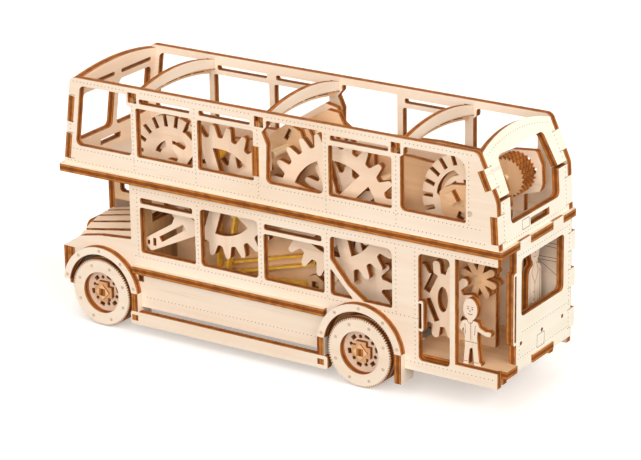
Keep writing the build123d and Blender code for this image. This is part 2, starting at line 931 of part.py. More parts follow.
def meshed(teeth_a, phase_a, teeth_b, direction):
    """Phase of gear b that meshes with gear a, seen from a in a direction"""
    offset = phase_a - direction
    return direction + 180 - offset * teeth_a / teeth_b + 180 / teeth_b


def centre_distance(teeth_a, teeth_b):
    """Distance between two meshed gears' centres"""
    return module * (teeth_a + teeth_b) / 2


axle_centre = (rear_axle_x, axle_height)
drive_centre = (x_at(drive_station), drive_height)
reach_axle = centre_distance(axle_teeth, idler_teeth)
reach_drive = centre_distance(idler_teeth, pinion_teeth)
span = hypot(drive_centre[0] - axle_centre[0], drive_centre[1] - axle_centre[1])
climb = degrees(atan2(drive_centre[1] - axle_centre[1], drive_centre[0] - axle_centre[0]))
bend_cos = (reach_axle ** 2 + span ** 2 - reach_drive ** 2) / (2 * reach_axle * span)
bend = degrees(atan2(sqrt(max(0.0, 1 - bend_cos ** 2)), bend_cos))
axle_to_idler = climb - bend
idler_centre = (
    axle_centre[0] + reach_axle * cos(radians(axle_to_idler)),
    axle_centre[1] + reach_axle * sin(radians(axle_to_idler)),
)
idler_to_drive = degrees(
    atan2(drive_centre[1] - idler_centre[1], drive_centre[0] - idler_centre[0])
)
drive_to_second = -3.0
reach_second = centre_distance(drive_teeth, second_teeth)
second_centre = (
    drive_centre[0] + reach_second * cos(radians(drive_to_second)),
    drive_centre[1] + reach_second * sin(radians(drive_to_second)),
)
second_to_disc = 14.0
reach_disc = centre_distance(second_pinion_teeth, disc_teeth)
disc_centre = (
    second_centre[0] + reach_disc * cos(radians(second_to_disc)),
    second_centre[1] + reach_disc * sin(radians(second_to_disc)),
)
axle_phase = 45.0
idler_phase = meshed(axle_teeth, axle_phase, idler_teeth, axle_to_idler)
pinion_phase = meshed(idler_teeth, idler_phase, pinion_teeth, idler_to_drive)
drive_phase = 90.0
second_phase = meshed(drive_teeth, drive_phase, second_teeth, drive_to_second)
second_pinion_phase = 20.0
disc_phase = meshed(second_pinion_teeth, second_pinion_phase, disc_teeth, second_to_disc)


def spoked(face, inner, outer, count, width, phase):
    """Cut windows between straight spokes"""
    ring = Circle(outer) - Circle(inner)
    for index in range(count):
        spoke = Rot(0, 0, phase + index * 360 / count) * Pos(outer / 2, 0) * Rectangle(outer * 1.2, width)
        ring -= spoke
    return face - ring


def slot_disc(phase):
    """Disc with narrow slots round its rim and curved slots round its hub"""
    face = Circle(slot_disc_r)
    reach = slot_disc_r - rim_slot_depth / 2 + 0.5
    for index in range(slot_disc_count):
        turn = Rot(0, 0, phase + index * 360 / slot_disc_count)
        face -= turn * Pos(reach, 0) * Rectangle(rim_slot_depth + 1.0, rim_slot_width)
    hub_ring = Circle(11.4) - Circle(8.2)
    for index in range(5):
        turn = Rot(0, 0, phase + index * 72)
        hub_ring -= turn * Pos(10.0, 0) * Rectangle(20.0, 4.4)
    return face - hub_ring


def place_gear(face, centre, y_low, bore):
    """Gear plate on its arbor"""
    face -= Circle(bore)
    return lengthwise(Pos(*centre) * face, y_low, y_low + ply)


def arbor(centre, y_low, y_high):
    """Dowel that a gear turns with"""
    return dowel(centre[0], centre[1], y_low, y_high)


arbor_back = far_plate_y - 3.0
arbor_front = gear_layer_near + ply + 3.5

drive_gear = place_gear(
    spoked(gear_face(drive_teeth, drive_phase), 9.0, 26.0, 6, 7.0, 15.0),
    drive_centre, gear_layer_near, dowel_r,
)
drive_pinion = place_gear(
    gear_face(pinion_teeth, pinion_phase), drive_centre, gear_layer_far, dowel_r
)
drive_arbor = arbor(drive_centre, arbor_back, arbor_front)
second_gear = place_gear(
    spoked(gear_face(second_teeth, second_phase), 9.0, 24.0, 5, 7.0, 0.0),
    second_centre, gear_layer_near, dowel_r,
)
second_pinion = place_gear(
    gear_face(second_pinion_teeth, second_pinion_phase), second_centre, pinion_layer, dowel_r
)
second_arbor = arbor(second_centre, arbor_back, arbor_front)
disc_gear = place_gear(gear_face(disc_teeth, disc_phase), disc_centre, pinion_layer, dowel_r)
disc_gear += place_gear(slot_disc(9.0), disc_centre, pinion_layer + ply, dowel_r)
disc_arbor = arbor(disc_centre, arbor_back, pinion_layer + 2 * ply + 1.5)
idler_gear = place_gear(gear_face(idler_teeth, idler_phase), idler_centre, gear_layer_far, dowel_r)
idler_arbor = arbor(idler_centre, near_plate_y - 3.0, gear_layer_far + ply + 1.5)


def axle_gear():
    """Gear on the rear axle"""
    face = gear_face(axle_teeth, axle_phase) - Rectangle(axle_side, axle_side)
    return lengthwise(Pos(*axle_centre) * face, gear_layer_far, gear_layer_far + ply)


# Mechanism plates: station, height and radius of each corner
near_plate_corners = (
    (plate_rear, floor_top, 0.0),
    (plate_rear, 98.0, 4.0),
    (plate_rear - 10.0, plate_top - 3.0, 4.0),
    (plate_rear - 50.0, plate_top, 4.0),
    (151.0, plate_top, 3.0),
    (146.6, 104.5, 1.6),
    (142.8, 106.6, 0.6),
    (140.7, 116.9, 0.8),
    (138.4, 120.8, 0.8),
    (133.4, 119.4, 0.5),
    (124.7, 121.4, 1.0),
    (116.0, 110.0, 4.0),
    (plate_front, 104.0, 4.0),
    (plate_front, floor_top, 0.0),
)
far_plate_corners = (
    (plate_rear, floor_top, 0.0),
    (plate_rear, 96.8, 1.0),
    (plate_rear + 9.2, 99.6, 1.5),
    (plate_rear + 10.6, 104.0, 1.5),
    (plate_rear + 10.0, 114.0, 2.0),
    (plate_rear + 7.0, 120.9, 2.0),
    (plate_rear - 7.0, 119.4, 2.0),
    (plate_rear - 15.0, 115.0, 3.0),
    (plate_rear - 50.0, plate_top, 4.0),
    (147.0, 113.0, 4.0),
    (140.5, 117.1, 0.8),
    (138.1, 124.4, 1.0),
    (130.6, 125.9, 1.0),
    (114.7, 115.7, 2.0),
    (106.0, 106.0, 4.0),
    (plate_front, 104.0, 4.0),
    (plate_front, floor_top, 0.0),
)
far_plate_windows = ((plate_rear + 1.6, 115.4), (plate_rear + 5.4, 110.4))
axle_slot_front = rear_axle_station - 23.6
axle_slot_rear = rear_axle_station + 22.4
bearing_centres = (drive_centre, second_centre, disc_centre, idler_centre)


def mechanism_plate(y_low, corners, holes, windows=()):
    """Upright plate that carries the gear arbors"""
    face = rounded([(x_at(s), z, r) for s, z, r in corners])
    face -= box_face(
        x_at(axle_slot_rear), x_at(axle_slot_front), floor_underside - 1, axle_height + 16.0, 3.0
    )
    for centre in holes:
        face -= Pos(*centre) * Circle(dowel_r + shaft_gap)
    for station, z in windows:
        face -= Pos(x_at(station), z) * Rot(0, 0, 12) * Rectangle(3.2, 3.2)
    return lengthwise(face, y_low, y_low + ply)


tie_places = (
    (72.0, 44.0), (112.0, 34.0), (150.0, 40.0), (plate_rear - 18.0, 60.0), (plate_rear - 28.0, 104.0),
    (138.0, 115.6), (139.6, 110.4),
)

# Dowels on the near plate: station, height, radius and the Y of their free end
peg_places = (
    (88.0, 36.0, peg_r, 18.0),
    (141.0, 50.5, peg_r, 14.0),
    (96.0, 29.6, peg_r, 14.0),
    (134.8, 33.6, peg_r, 14.0),
    (85.5, 102.5, peg_r, 19.6),
    (127.5, 110.0, 2.2, 26.0),
    (187.3, 103.5, 2.1, 19.2),
    (body_end - star_inset, star_height, peg_r, near_plate_y + 3 * ply + 2.0),
    (body_end - display_inset - 8.6, display_gear_height + 0.6, peg_r, display_gear_y),
    (rear_disc_station, rear_disc_height, peg_r, near_plate_y + 3 * ply),
)


def tie_rods():
    """Dowels between the mechanism plates and pegs that stand out of the near one"""
    rods = [
        dowel(x_at(station), z, far_plate_y + ply, near_plate_y, tie_rod_r)
        for station, z in tie_places
    ]
    for station, z, radius, free_end in peg_places:
        rods.append(dowel(x_at(station), z, near_plate_y + ply, free_end, radius))
    drum_station, drum_z = drum_place
    rods.append(dowel(x_at(drum_station), drum_z, far_plate_y + ply, drum_front + 2.0, tie_rod_r))
    return rods


# Wheels
def wheel_set(station):
    """Rings, hub discs, axle and locks of one axle"""
    centre = (x_at(station), axle_height)
    outer_ring = lengthwise(
        Pos(*centre) * (Circle(wheel_r) - Circle(wheel_hole_r)), side_face - ply, side_face
    )
    inner_ring = lengthwise(
        Pos(*centre) * (Circle(wheel_r) - Circle(wheel_hole_r)),
        side_face - 3 * ply, side_face - 2 * ply,
    )
    disc = Circle(wheel_r) - Rectangle(axle_side, axle_side)
    for index in range(hub_hole_count):
        turn = Rot(0, 0, index * 360 / hub_hole_count)
        disc -= turn * Pos(8.4, 0) * Rectangle(1.7, 2.9)
        disc -= Rot(0, 0, 180 / hub_hole_count) * turn * Pos(8.2, 0) * Circle(0.95)
    hub = lengthwise(Pos(*centre) * disc, side_face - 2 * ply, side_face - ply)
    lock_face = Rectangle(2 * lock_reach, 2 * lock_arm) + Rectangle(2 * lock_arm, 2 * lock_reach)
    lock_face -= Rectangle(axle_side, axle_side)
    lock = lengthwise(Pos(*centre) * lock_face, side_face - ply, side_face - ply + lock_depth)
    axle = block(
        centre[0] - axle_side / 2, centre[0] + axle_side / 2,
        -side_face + 0.6, side_face - 0.6,
        centre[1] - axle_side / 2, centre[1] + axle_side / 2,
    )
    return outer_ring, inner_ring, hub, lock, axle


# Small interior pieces
def display_gear():
    """Finger-toothed wheel behind the door, with two slots and a leaf-shaped hole"""
    centre_station, centre_z = body_end - display_inset, display_gear_height
    face = Circle(display_gear_r - 6.4)
    for index in range(13):
        turn = Rot(0, 0, 84 + index * 360 / 13)
        face += turn * Pos(display_gear_r - 6.0, 0) * Rectangle(9.0, 4.2)
        face += turn * Pos(display_gear_r - 2.1, 0) * Circle(2.1)
    face = Pos(x_at(centre_station), centre_z) * face
    slots = (
        (-5.2, 8.4, 64.0, 11.4, 3.8),
        (-4.2, -6.0, -65.0, 12.6, 3.2),
    )
    for behind, above, tilt, length, width in slots:
        place = Pos(x_at(centre_station + behind), centre_z + above)
        face -= place * Rot(0, 0, 180 - tilt) * Rectangle(length, width)
    face -= Pos(x_at(centre_station + 1.8), centre_z + 0.6) * Ellipse(3.0, 6.8)
    return lengthwise(face, display_gear_y, display_gear_y + ply)


def star_gears():
    """Stack of wheels with eight long teeth beside the platform"""
    station, z, radius, free_end = peg_places[7]
    face = Circle(4.6)
    for index in range(star_teeth):
        turn = Rot(0, 0, 14 + index * 360 / star_teeth)
        face += turn * Pos(5.4, 0) * Rectangle(6.8, 3.4)
        face += turn * Pos(8.5, 0) * Ellipse(2.1, 1.9)
    face -= Circle(radius)
    face = Pos(x_at(station), z) * face
    return lengthwise(face, near_plate_y + ply, near_plate_y + 3 * ply)


def rear_disc():
    """Slotted disc behind the last upper window"""
    face = slot_disc(0.0) - Circle(peg_r)
    arc = Circle(16.8) - Circle(13.8)
    arc &= Rot(0, 0, 36) * Pos(20, 0) * Rectangle(40.0, 17.0)
    face -= arc
    return lengthwise(
        Pos(x_at(rear_disc_station), rear_disc_height) * face,
        near_plate_y + ply, near_plate_y + 2 * ply,
    )


def disc_bracket():
    """Bracket on the rear disc, with a square tenon on its face"""
    station, z = rear_disc_station, rear_disc_height
    bracket = plate_from(
        (
            (station - 12.8, z + 4.2), (station - 10.2, z + 6.8), (station - 5.2, z + 9.2),
            (station + 9.3, z + 10.8), (station + 10.8, z - 11.2), (station - 8.6, z - 11.2),
            (station - 11.8, z - 4.0),
        ),
        near_plate_y + 2 * ply,
    )
    front = near_plate_y + 3 * ply
    bracket -= dowel(x_at(station), z, front - ply, front, peg_r)
    hole = Pos(x_at(station - 0.2), z - 6.6) * Rot(0, 0, 20) * Rectangle(4.2, 4.2)
    bracket -= lengthwise(hole, front - ply, front)
    tenon = Pos(x_at(station - 4.0), z + 3.3) * Rot(0, 0, 58) * Rectangle(6.1, 4.9)
    bracket -= lengthwise(Pos(x_at(station), z) * Circle(peg_r), front - ply, front)
    tenon -= Pos(x_at(station), z) * Circle(peg_r)
    return bracket + lengthwise(tenon, front, front + ply)


def plate_from(corners, y_low, radius=0.6):
    """Plate through stations and heights"""
    face = rounded([(x_at(station), z, radius) for station, z in corners])
    return lengthwise(face, y_low, y_low + ply)


def brackets():
    """Cheeks and small brackets that stand on the mechanism plates"""
    front_face = near_plate_y + ply
    cheek = plate_from(
        (
            (139.0, 112.8), (136.1, 119.9), (130.5, 122.3), (127.4, 122.9),
            (118.0, 116.0), (113.0, 106.0), (120.0, 98.0), (136.0, 98.0),
        ),
        front_face,
    )
    slot = Pos(x_at(128.6), 117.4) * Rot(0, 0, 118) * Rectangle(6.6, 2.4)
    cheek -= lengthwise(slot, front_face, front_face + ply)
    dowel_station, dowel_z, radius, free_end = peg_places[5]
    cheek -= dowel(x_at(dowel_station), dowel_z, front_face, free_end, radius)
    back_cheek = plate_from(
        (
            (145.0, 116.6), (141.4, 123.3), (134.5, 123.9), (118.6, 114.8),
            (118.0, 104.0), (126.0, 98.0), (136.0, 98.0), (136.0, 106.4), (145.0, 106.4),
        ),
        far_plate_y + ply,
    )
    for station, z in tie_places[5:]:
        back_cheek -= dowel(x_at(station), z, far_plate_y, near_plate_y, tie_rod_r)
    square = plate_from(((171.0, 105.0), (181.0, 105.0), (181.0, 116.0), (171.0, 116.0)), front_face)
    hole = Polyline(
        (x_at(175.2), 107.4), (x_at(178.6), 108.6), (x_at(178.2), 112.4), close=True
    )
    square -= lengthwise(make_face(hole), front_face, front_face + ply)
    foot = plate_from(
        ((139.4, floor_top), (139.4, 41.0), (144.4, 43.0), (149.0, 39.6), (149.0, floor_top)),
        front_face, 0.3,
    )
    foot -= lengthwise(
        box_face(x_at(146.0), x_at(141.6), 35.0, 39.0), front_face, front_face + ply
    )
    return [cheek, back_cheek, square, foot, disc_bracket()]


def lever_arm():
    """Slotted arm behind the first lower window"""
    face = rounded(
        [
            (x_at(48.0), 47.0, 0.4),
            (x_at(48.0), 51.4, 0.4),
            (x_at(65.4), 62.1, 2.0),
            (x_at(68.3), 68.8, 1.0),
            (x_at(71.6), 70.6, 1.0),
            (x_at(81.2), 66.2, 2.0),
            (x_at(80.9), 58.3, 2.0),
            (x_at(51.0), 44.3, 1.6),
        ]
    )
    slot = Pos(x_at(65.4), 56.8) * Rot(0, 0, -31.6) * Rectangle(18.6, 3.2)
    face -= slot
    face -= box_face(x_at(50.4), x_at(48.9), 47.8, 50.2)
    face -= box_face(x_at(54.6), x_at(52.6), 47.6, 52.0)
    return lengthwise(face, lever_y, lever_y + ply)


def brake_lever():
    """Two-ply tab through the post between the third and fourth windows"""
    low = upper_sill + lever_tab_rise
    return block(
        x_at(lever_tab_rear), x_at(lever_tab_front), lever_y + 1.0, half_width + 0.6,
        low, low + lever_tab_height,
    )


def ratchet_drum():
    """Stack of fine-toothed ratchet discs on the far mechanism plate"""
    face = Circle(drum_r - 1.0)
    for index in range(drum_teeth):
        turn = Rot(0, 0, index * 360 / drum_teeth)
        tooth = Polyline(
            (drum_r - 1.4, -1.1), (drum_r + 0.3, -0.9), (drum_r - 1.2, 1.0), close=True
        )
        face += turn * make_face(tooth)
    face -= Circle(tie_rod_r)
    station, z = drum_place
    return lengthwise(Pos(x_at(station), z) * face, far_plate_y + ply, drum_front)


def band_loop(a, b, radius_a, radius_b, y_low, y_high):
    """Rubber band stretched round two round pieces"""
    start = Vector(x_at(a[0]), a[1])
    end = Vector(x_at(b[0]), b[1])
    gap = (end - start).length
    direction = degrees(atan2(end.Y - start.Y, end.X - start.X))
    lean = degrees(asin((radius_a - radius_b) / gap))

    def outline(extra):
        ra, rb = radius_a + extra, radius_b + extra
        up = radians(direction + 90 - lean)
        down = radians(direction - 90 + lean)
        a_up = start + Vector(cos(up), sin(up)) * ra
        b_up = end + Vector(cos(up), sin(up)) * rb
        a_down = start + Vector(cos(down), sin(down)) * ra
        b_down = end + Vector(cos(down), sin(down)) * rb
        ahead = Vector(cos(radians(direction)), sin(radians(direction)))
        return make_face(
            [
                Line(a_up, b_up),
                ThreePointArc(b_up, end + ahead * rb, b_down),
                Line(b_down, a_down),
                ThreePointArc(a_down, start - ahead * ra, a_up),
            ]
        )

    return lengthwise(outline(band_thickness) - outline(0.0), y_low, y_high)


def bands():
    """Rubber bands: two long ones, one up to the second arbor and one wound on a peg"""
    low_peg, far_peg, foot_peg, end_peg, drum_peg = peg_places[:5]
    arbor_place = (nose_x - second_centre[0], second_centre[1])
    wound = Pos(x_at(drum_peg[0]), drum_peg[1]) * (Circle(drum_peg[2] + 3.0) - Circle(drum_peg[2]))
    return [
        band_loop(low_peg, far_peg, peg_r, peg_r, 8.6, 12.4),
        band_loop(foot_peg, end_peg, peg_r, peg_r, 8.6, 12.4),
        band_loop(arbor_place, low_peg, dowel_r + 4.2, peg_r, 13.4, 17.2),
        lengthwise(wound, 13.6, 18.4),
    ]


def figure(y_face, x, head_z, foot_z):
    """Flat standing figure cut from the sheet, seen from the side"""
    height = head_z - foot_z
    head = Pos(x, head_z - height * 0.14) * Ellipse(height * 0.11, height * 0.14)
    body = rounded(
        [
            (x - height * 0.10, foot_z + height * 0.40, 0.6),
            (x + height * 0.10, foot_z + height * 0.40, 0.6),
            (x + height * 0.13, foot_z + height * 0.74, 1.5),
            (x - height * 0.13, foot_z + height * 0.74, 1.5),
        ]
    )
    face = head + body
    for side, hand in ((-1, 0.32), (1, 0.20)):
        face += rounded(
            [
                (x + side * height * 0.02, foot_z + height * 0.42, 0.0),
                (x + side * height * 0.11, foot_z + height * 0.42, 0.0),
                (x + side * height * 0.11, foot_z, 0.8),
                (x + side * height * 0.03, foot_z, 0.8),
            ]
        )
        face += rounded(
            [
                (x + side * height * 0.10, foot_z + height * 0.73, 0.0),
                (x + side * height * 0.10, foot_z + height * 0.62, 0.0),
                (x + side * height * (hand - 0.04), foot_z + height * 0.44, 0.8),
                (x + side * height * hand, foot_z + height * 0.50, 0.8),
            ]
        )
    return lengthwise(face, y_face - ply, y_face)


def tall_figure():
    """Flat figure in a long coat behind the rear window, facing backwards"""
    head_z = floor_top + tall_figure_height - 7.0
    station = body_end - tall_figure_inset
    face = Pos(tall_figure_y, head_z) * Ellipse(5.2, 7.0)
    face += box_face(tall_figure_y - 2.4, tall_figure_y + 2.4, floor_top + 35.1, head_z)
    face += rounded(
        [
            (tall_figure_y - 7.6, floor_top, 0.6),
            (tall_figure_y + 7.6, floor_top, 0.6),
            (tall_figure_y + 8.4, floor_top + 33.1, 3.0),
            (tall_figure_y + 5.0, floor_top + 38.7, 2.0),
            (tall_figure_y - 5.0, floor_top + 38.7, 2.0),
            (tall_figure_y - 8.4, floor_top + 33.1, 3.0),
        ]
    )
    return crosswise(face, x_at(station + ply), ply)


def build_all():
    """Write every node"""
    side = upper_side()
    save("upper_side_near", side)
    save("upper_side_far", mirrored(side))
    save("lower_side_near", lower_side_near())
    save("lower_side_far", lower_side_far())
    save("upper_deck", upper_deck())
    save("upper_front_wall", nose_wall())
    save("upper_rear_wall_top", tail_high())
    save("upper_rear_wall_bottom", tail_low())
    save("roof_arch_leaves_rear", group([roof_arch(s, False) for s in arch_stations]))
    save("roof_arch_leaves_front", group([roof_arch(s, True) for s in arch_stations]))
    save("platform_floor", platform_floor())
    save("saloon_floor", saloon_floor())
    save("chassis_rails", both(chassis_rail()))
    save("cross_members", group(cross_members()))
    save("lower_rear_wall", tail_wall())
    save("saloon_bulkhead", saloon_bulkhead())
    save("nose_plate", nose_plates())
    save("nose_backing", nose_backing())
    save("radiator_grille", radiator())
    save("headlamps", group(headlamps()))
    slats = bonnet_slats()
    formers = [bonnet_former(*place) for place in former_places]
    save("bonnet_formers", group([former - slats for former in formers]))
    save("bonnet_slats", group(slats))
    save("cab_front", cab_front())
    save("cab_side_wall", cab_side())
    front_ring = wheel_arch_ring(front_fender_station, front_fender_r)
    rear_ring = wheel_arch_ring(rear_fender_station, rear_fender_r)
    save("front_fenders", both(front_ring))
    save("rear_fenders", both(rear_ring))
    uprights = fender_uprights()
    save("fender_uprights", group([both(piece) for piece in uprights]))
    save("step_rails", both(step_rail()))
    save("waist_strips", both(waist_strip()))
    near_plate = mechanism_plate(near_plate_y, near_plate_corners, bearing_centres)
    far_plate = mechanism_plate(
        far_plate_y, far_plate_corners, bearing_centres[:3], far_plate_windows
    )
    save("mechanism_plate_near", near_plate)
    save("mechanism_plate_far", far_plate)
    save("tie_rods", group(tie_rods()))
    save("brackets", group(brackets()))
    save("lever_arm", lever_arm())
    save("display_gear", display_gear())
    save("star_gears", star_gears())
    save("rear_disc", rear_disc())
    save("brake_lever", brake_lever())
    save("ratchet_drum", ratchet_drum())
    save("rubber_bands", group(bands()))
    child = figure(
        panel_inner - touch_gap, x_at(body_end - figure_inset), floor_top + figure_height, floor_top
    )
    save("platform_figures", group([child, tall_figure()]))
    for name, station in (("front", front_axle_station), ("rear", rear_axle_station)):
        outer_ring, inner_ring, hub, lock, axle = wheel_set(station)
        save(f"{name}_wheel_rings", group([both(outer_ring), both(inner_ring)]))
        save(f"{name}_wheel_hubs", both(hub))
        save(f"{name}_axle_locks", both(lock))
        save(f"{name}_axle", axle)
    save("axle_gear", axle_gear())
    save("idler_gear", idler_gear)
    save("idler_arbor", idler_arbor)
    save("drive_gear", drive_gear)
    save("drive_pinion", drive_pinion)
    save("drive_arbor", drive_arbor)
    save("second_gear", second_gear)
    save("second_pinion", second_pinion)
    save("second_arbor", second_arbor)
    save("disc_gear", disc_gear)
    save("disc_arbor", disc_arbor)


build_all()
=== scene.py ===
import math

import bmesh
import bpy
from mathutils import Matrix, Vector


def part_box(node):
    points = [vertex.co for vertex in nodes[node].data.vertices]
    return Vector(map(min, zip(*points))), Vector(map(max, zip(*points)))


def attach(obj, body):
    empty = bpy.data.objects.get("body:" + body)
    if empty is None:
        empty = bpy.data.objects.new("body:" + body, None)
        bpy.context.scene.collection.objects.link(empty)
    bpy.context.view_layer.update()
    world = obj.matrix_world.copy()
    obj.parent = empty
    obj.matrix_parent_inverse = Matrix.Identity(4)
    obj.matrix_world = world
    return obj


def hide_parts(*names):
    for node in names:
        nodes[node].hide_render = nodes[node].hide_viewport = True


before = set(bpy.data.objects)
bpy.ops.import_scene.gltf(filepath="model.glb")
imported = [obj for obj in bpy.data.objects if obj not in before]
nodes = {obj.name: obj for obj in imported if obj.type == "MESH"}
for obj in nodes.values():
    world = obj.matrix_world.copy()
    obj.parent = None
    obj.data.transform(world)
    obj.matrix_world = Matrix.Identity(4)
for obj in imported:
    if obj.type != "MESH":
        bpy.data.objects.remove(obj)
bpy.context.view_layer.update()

mm = 0.001
print("frame loaded,", len(nodes), "cad parts")

# the whole bus, in mm like every size below: x is told as a station, from the nose towards the tail
bus = {
    "ply": 4.0,
    "innerY": 33.7,
    "noseX": 133.2,
    "axles": {"front": 25.2, "rear": 189.6},
    "axleHeight": 19.0,
    "tallFigureX": -122.8,
}
ply, noseX = bus["ply"], bus["noseX"]
innerY = bus["innerY"]
outerY = innerY + ply  # outer face of the body's sides
trimY = outerY + ply  # outer face of fenders and wheel rings


def newMaterial(name):
    made = bpy.data.materials.new(name)
    made.use_nodes = True
    tree = made.node_tree
    shader = next(n for n in tree.nodes if n.type == "BSDF_PRINCIPLED")
    return made, tree, shader


def put(tree, kind, links=None, **values):
    node = tree.nodes.new(kind)
    for key, value in values.items():
        setattr(node, key, value)
    for socket, source in (links or {}).items():
        if isinstance(source, bpy.types.NodeSocket):
            tree.links.new(source, node.inputs[socket])
        else:
            node.inputs[socket].default_value = source
    return node


def calc(tree, operation, a, b=0.0, c=0.0):
    return put(tree, "ShaderNodeMath", {0: a, 1: b, 2: c}, operation=operation).outputs[0]


def mixColor(tree, factor, a, b, blend="MIX"):
    node = put(tree, "ShaderNodeMix", {0: factor, 6: a, 7: b}, data_type="RGBA", blend_type=blend)
    return node.outputs[2]


def ramp(tree, value, stops):
    node = put(tree, "ShaderNodeValToRGB", {0: value})
    elements = node.color_ramp.elements
    while len(elements) < len(stops):
        elements.new(0.5)
    for element, (place, color) in zip(elements, stops):
        element.position = place
        element.color = tuple(color) + (1.0,)
    return node.outputs[0]


def mapRange(tree, value, low, high, toLow=0.0, toHigh=1.0):
    links = {0: value, 1: low, 2: high, 3: toLow, 4: toHigh}
    return put(tree, "ShaderNodeMapRange", links).outputs[0]


def dot(tree, vector, way):
    node = put(tree, "ShaderNodeVectorMath", {0: vector, 1: way}, operation="DOT_PRODUCT")
    return node.outputs["Value"]


def stretched(tree, coords, scale, shift=(0.0, 0.0, 0.0)):
    return put(tree, "ShaderNodeMapping", {0: coords, 1: shift, 3: scale}).outputs[0]


def noise(tree, coords, scale, detail=2.0, rough=0.5):
    links = {"Vector": coords, "Scale": scale, "Detail": detail, "Roughness": rough}
    return put(tree, "ShaderNodeTexNoise", links).outputs[0]


# birch veneers from pale to warm, and the laser's burnt edge. The warm, gold and hub tones are
# darker and warmer for pieces inside the body and in recesses: partly their veneer, partly painted
# shade and painted warm bounce. The pale tone of the tail walls is lighter partly as painted light
# of their lit side.
birch = {
    "cream": ((0.785, 0.615, 0.460), (0.830, 0.685, 0.545), (0.860, 0.735, 0.610)),
    "rose": ((0.830, 0.610, 0.430), (0.900, 0.700, 0.525), (0.930, 0.760, 0.590)),
    "pale": ((0.900, 0.800, 0.640), (0.940, 0.870, 0.730), (0.960, 0.900, 0.780)),
    "warmVeneerAndShade": ((0.680, 0.400, 0.205), (0.780, 0.500, 0.285), (0.840, 0.585, 0.365)),
    "hub": ((0.640, 0.440, 0.310), (0.720, 0.510, 0.375), (0.780, 0.580, 0.445)),
    "goldVeneerAndShade": ((0.560, 0.310, 0.120), (0.660, 0.400, 0.180), (0.730, 0.480, 0.250)),
    "toast": ((0.480, 0.230, 0.095), (0.600, 0.320, 0.150), (0.690, 0.410, 0.215)),
    "burntLight": (0.520, 0.185, 0.036),
    "burntMiddle": (0.270, 0.075, 0.014),
    "burntDark": (0.085, 0.020, 0.004),
    "fleck": (0.560, 0.370, 0.220),
    "veneerStops": (0.30, 0.50, 0.68),
    "glueStops": (0.00, 0.07, 0.29, 0.35, 0.41, 0.60, 0.65, 0.71, 0.94, 1.00),
    "faceRange": (0.66, 0.74),
    "fibreShare": 0.42,
    "fleckRange": (0.70, 0.80, 0.0, 0.22),
    "fleckFiner": 2.3,
    "cloudScale": (16.0, 24.0, 24.0),
    "smokeScale": 240.0,
    "smokeRange": (0.38, 0.75, 0.0, 0.6),
    "bumpStrength": 0.12,
    "bumpDepth": 0.0002,
    "gloss": 0.16,
    "seedStep": 0.013,
    "roughFace": 0.66,
    "roughEdge": 0.8,
}
grainWays = {"X": (9.0, 260.0, 260.0), "Y": (260.0, 9.0, 260.0), "Z": (260.0, 260.0, 9.0)}


def veneerTone(tree, place, seed, grain, tone):
    # fine fibres over broad clouds, with a few short flecks
    ways = grainWays[grain]
    fibre = noise(tree, stretched(tree, place, ways, (seed, seed, seed)), 1.0, 3.0, 0.55)
    cloud = noise(tree, stretched(tree, place, birch["cloudScale"], (seed, 0.0, seed)), 1.0, 1.0)
    finer = tuple(v * birch["fleckFiner"] for v in ways)
    fleck = noise(tree, stretched(tree, place, finer, (seed, seed, 0.0)), 1.0, 1.0)
    share = birch["fibreShare"]
    grainTone = calc(tree, "ADD", calc(tree, "MULTIPLY", fibre, share),
                     calc(tree, "MULTIPLY", cloud, 1.0 - share))
    veneer = ramp(tree, grainTone, list(zip(birch["veneerStops"], birch[tone])))
    speck = mapRange(tree, fleck, *birch["fleckRange"])
    return mixColor(tree, speck, veneer, birch["fleck"] + (1.0,)), fibre


def burntPlies(tree, place, depth, low, sheet):
    # three plies with dark glue lines, charred by the laser; a thousand sheets more keep it positive
    start = calc(tree, "SUBTRACT", depth, (low - 1000.0 * sheet) * mm)
    layer = calc(tree, "FRACT", calc(tree, "DIVIDE", start, sheet * mm))
    light, mid, deep = birch["burntLight"], birch["burntMiddle"], birch["burntDark"]
    across = (deep, light, light, deep, mid, mid, deep, light, light, deep)
    plies = ramp(tree, layer, list(zip(birch["glueStops"], across)))
    smoke = noise(tree, place, birch["smokeScale"], 3.0)
    return mixColor(tree, mapRange(tree, smoke, *birch["smokeRange"]), plies, deep + (1.0,))


def plywood(name, thickness, low, grain="X", folded=False, tone="cream", sheet=ply, far=None):
    made, tree, shader = newMaterial(name)
    seed = sum(ord(c) for c in name) * birch["seedStep"]  # each sheet has its own grain
    coords = put(tree, "ShaderNodeTexCoord")
    place, normal = coords.outputs["Object"], coords.outputs["Normal"]
    facing = calc(tree, "ABSOLUTE", dot(tree, normal, thickness))
    depth = dot(tree, place, thickness)
    if folded:
        depth = calc(tree, "ABSOLUTE", depth)
    if far:
        # a second solid of the node on the -Y side lies another way round
        beyond = calc(tree, "LESS_THAN", dot(tree, place, (0, 1, 0)), 0.0)
        here = calc(tree, "SUBTRACT", 1.0, beyond)
        turned = calc(tree, "ABSOLUTE", dot(tree, normal, far[0]))
        shifted = calc(tree, "ADD", dot(tree, place, far[0]), (low - far[1]) * mm)
        facing = calc(tree, "ADD", calc(tree, "MULTIPLY", facing, here),
                      calc(tree, "MULTIPLY", turned, beyond))
        depth = calc(tree, "ADD", calc(tree, "MULTIPLY", depth, here),
                     calc(tree, "MULTIPLY", shifted, beyond))
    onFace = mapRange(tree, facing, *birch["faceRange"])
    veneer, fibre = veneerTone(tree, place, seed, grain, tone)
    edge = burntPlies(tree, place, depth, low, sheet)
    tree.links.new(mixColor(tree, onFace, edge, veneer), shader.inputs["Base Color"])
    rough = mapRange(tree, onFace, 0.0, 1.0, birch["roughEdge"], birch["roughFace"])
    tree.links.new(rough, shader.inputs["Roughness"])
    depths = {"Strength": birch["bumpStrength"], "Distance": birch["bumpDepth"], "Height": fibre}
    bump = put(tree, "ShaderNodeBump", depths)
    tree.links.new(bump.outputs[0], shader.inputs["Normal"])
    shader.inputs["Specular IOR Level"].default_value = birch["gloss"]
    return made
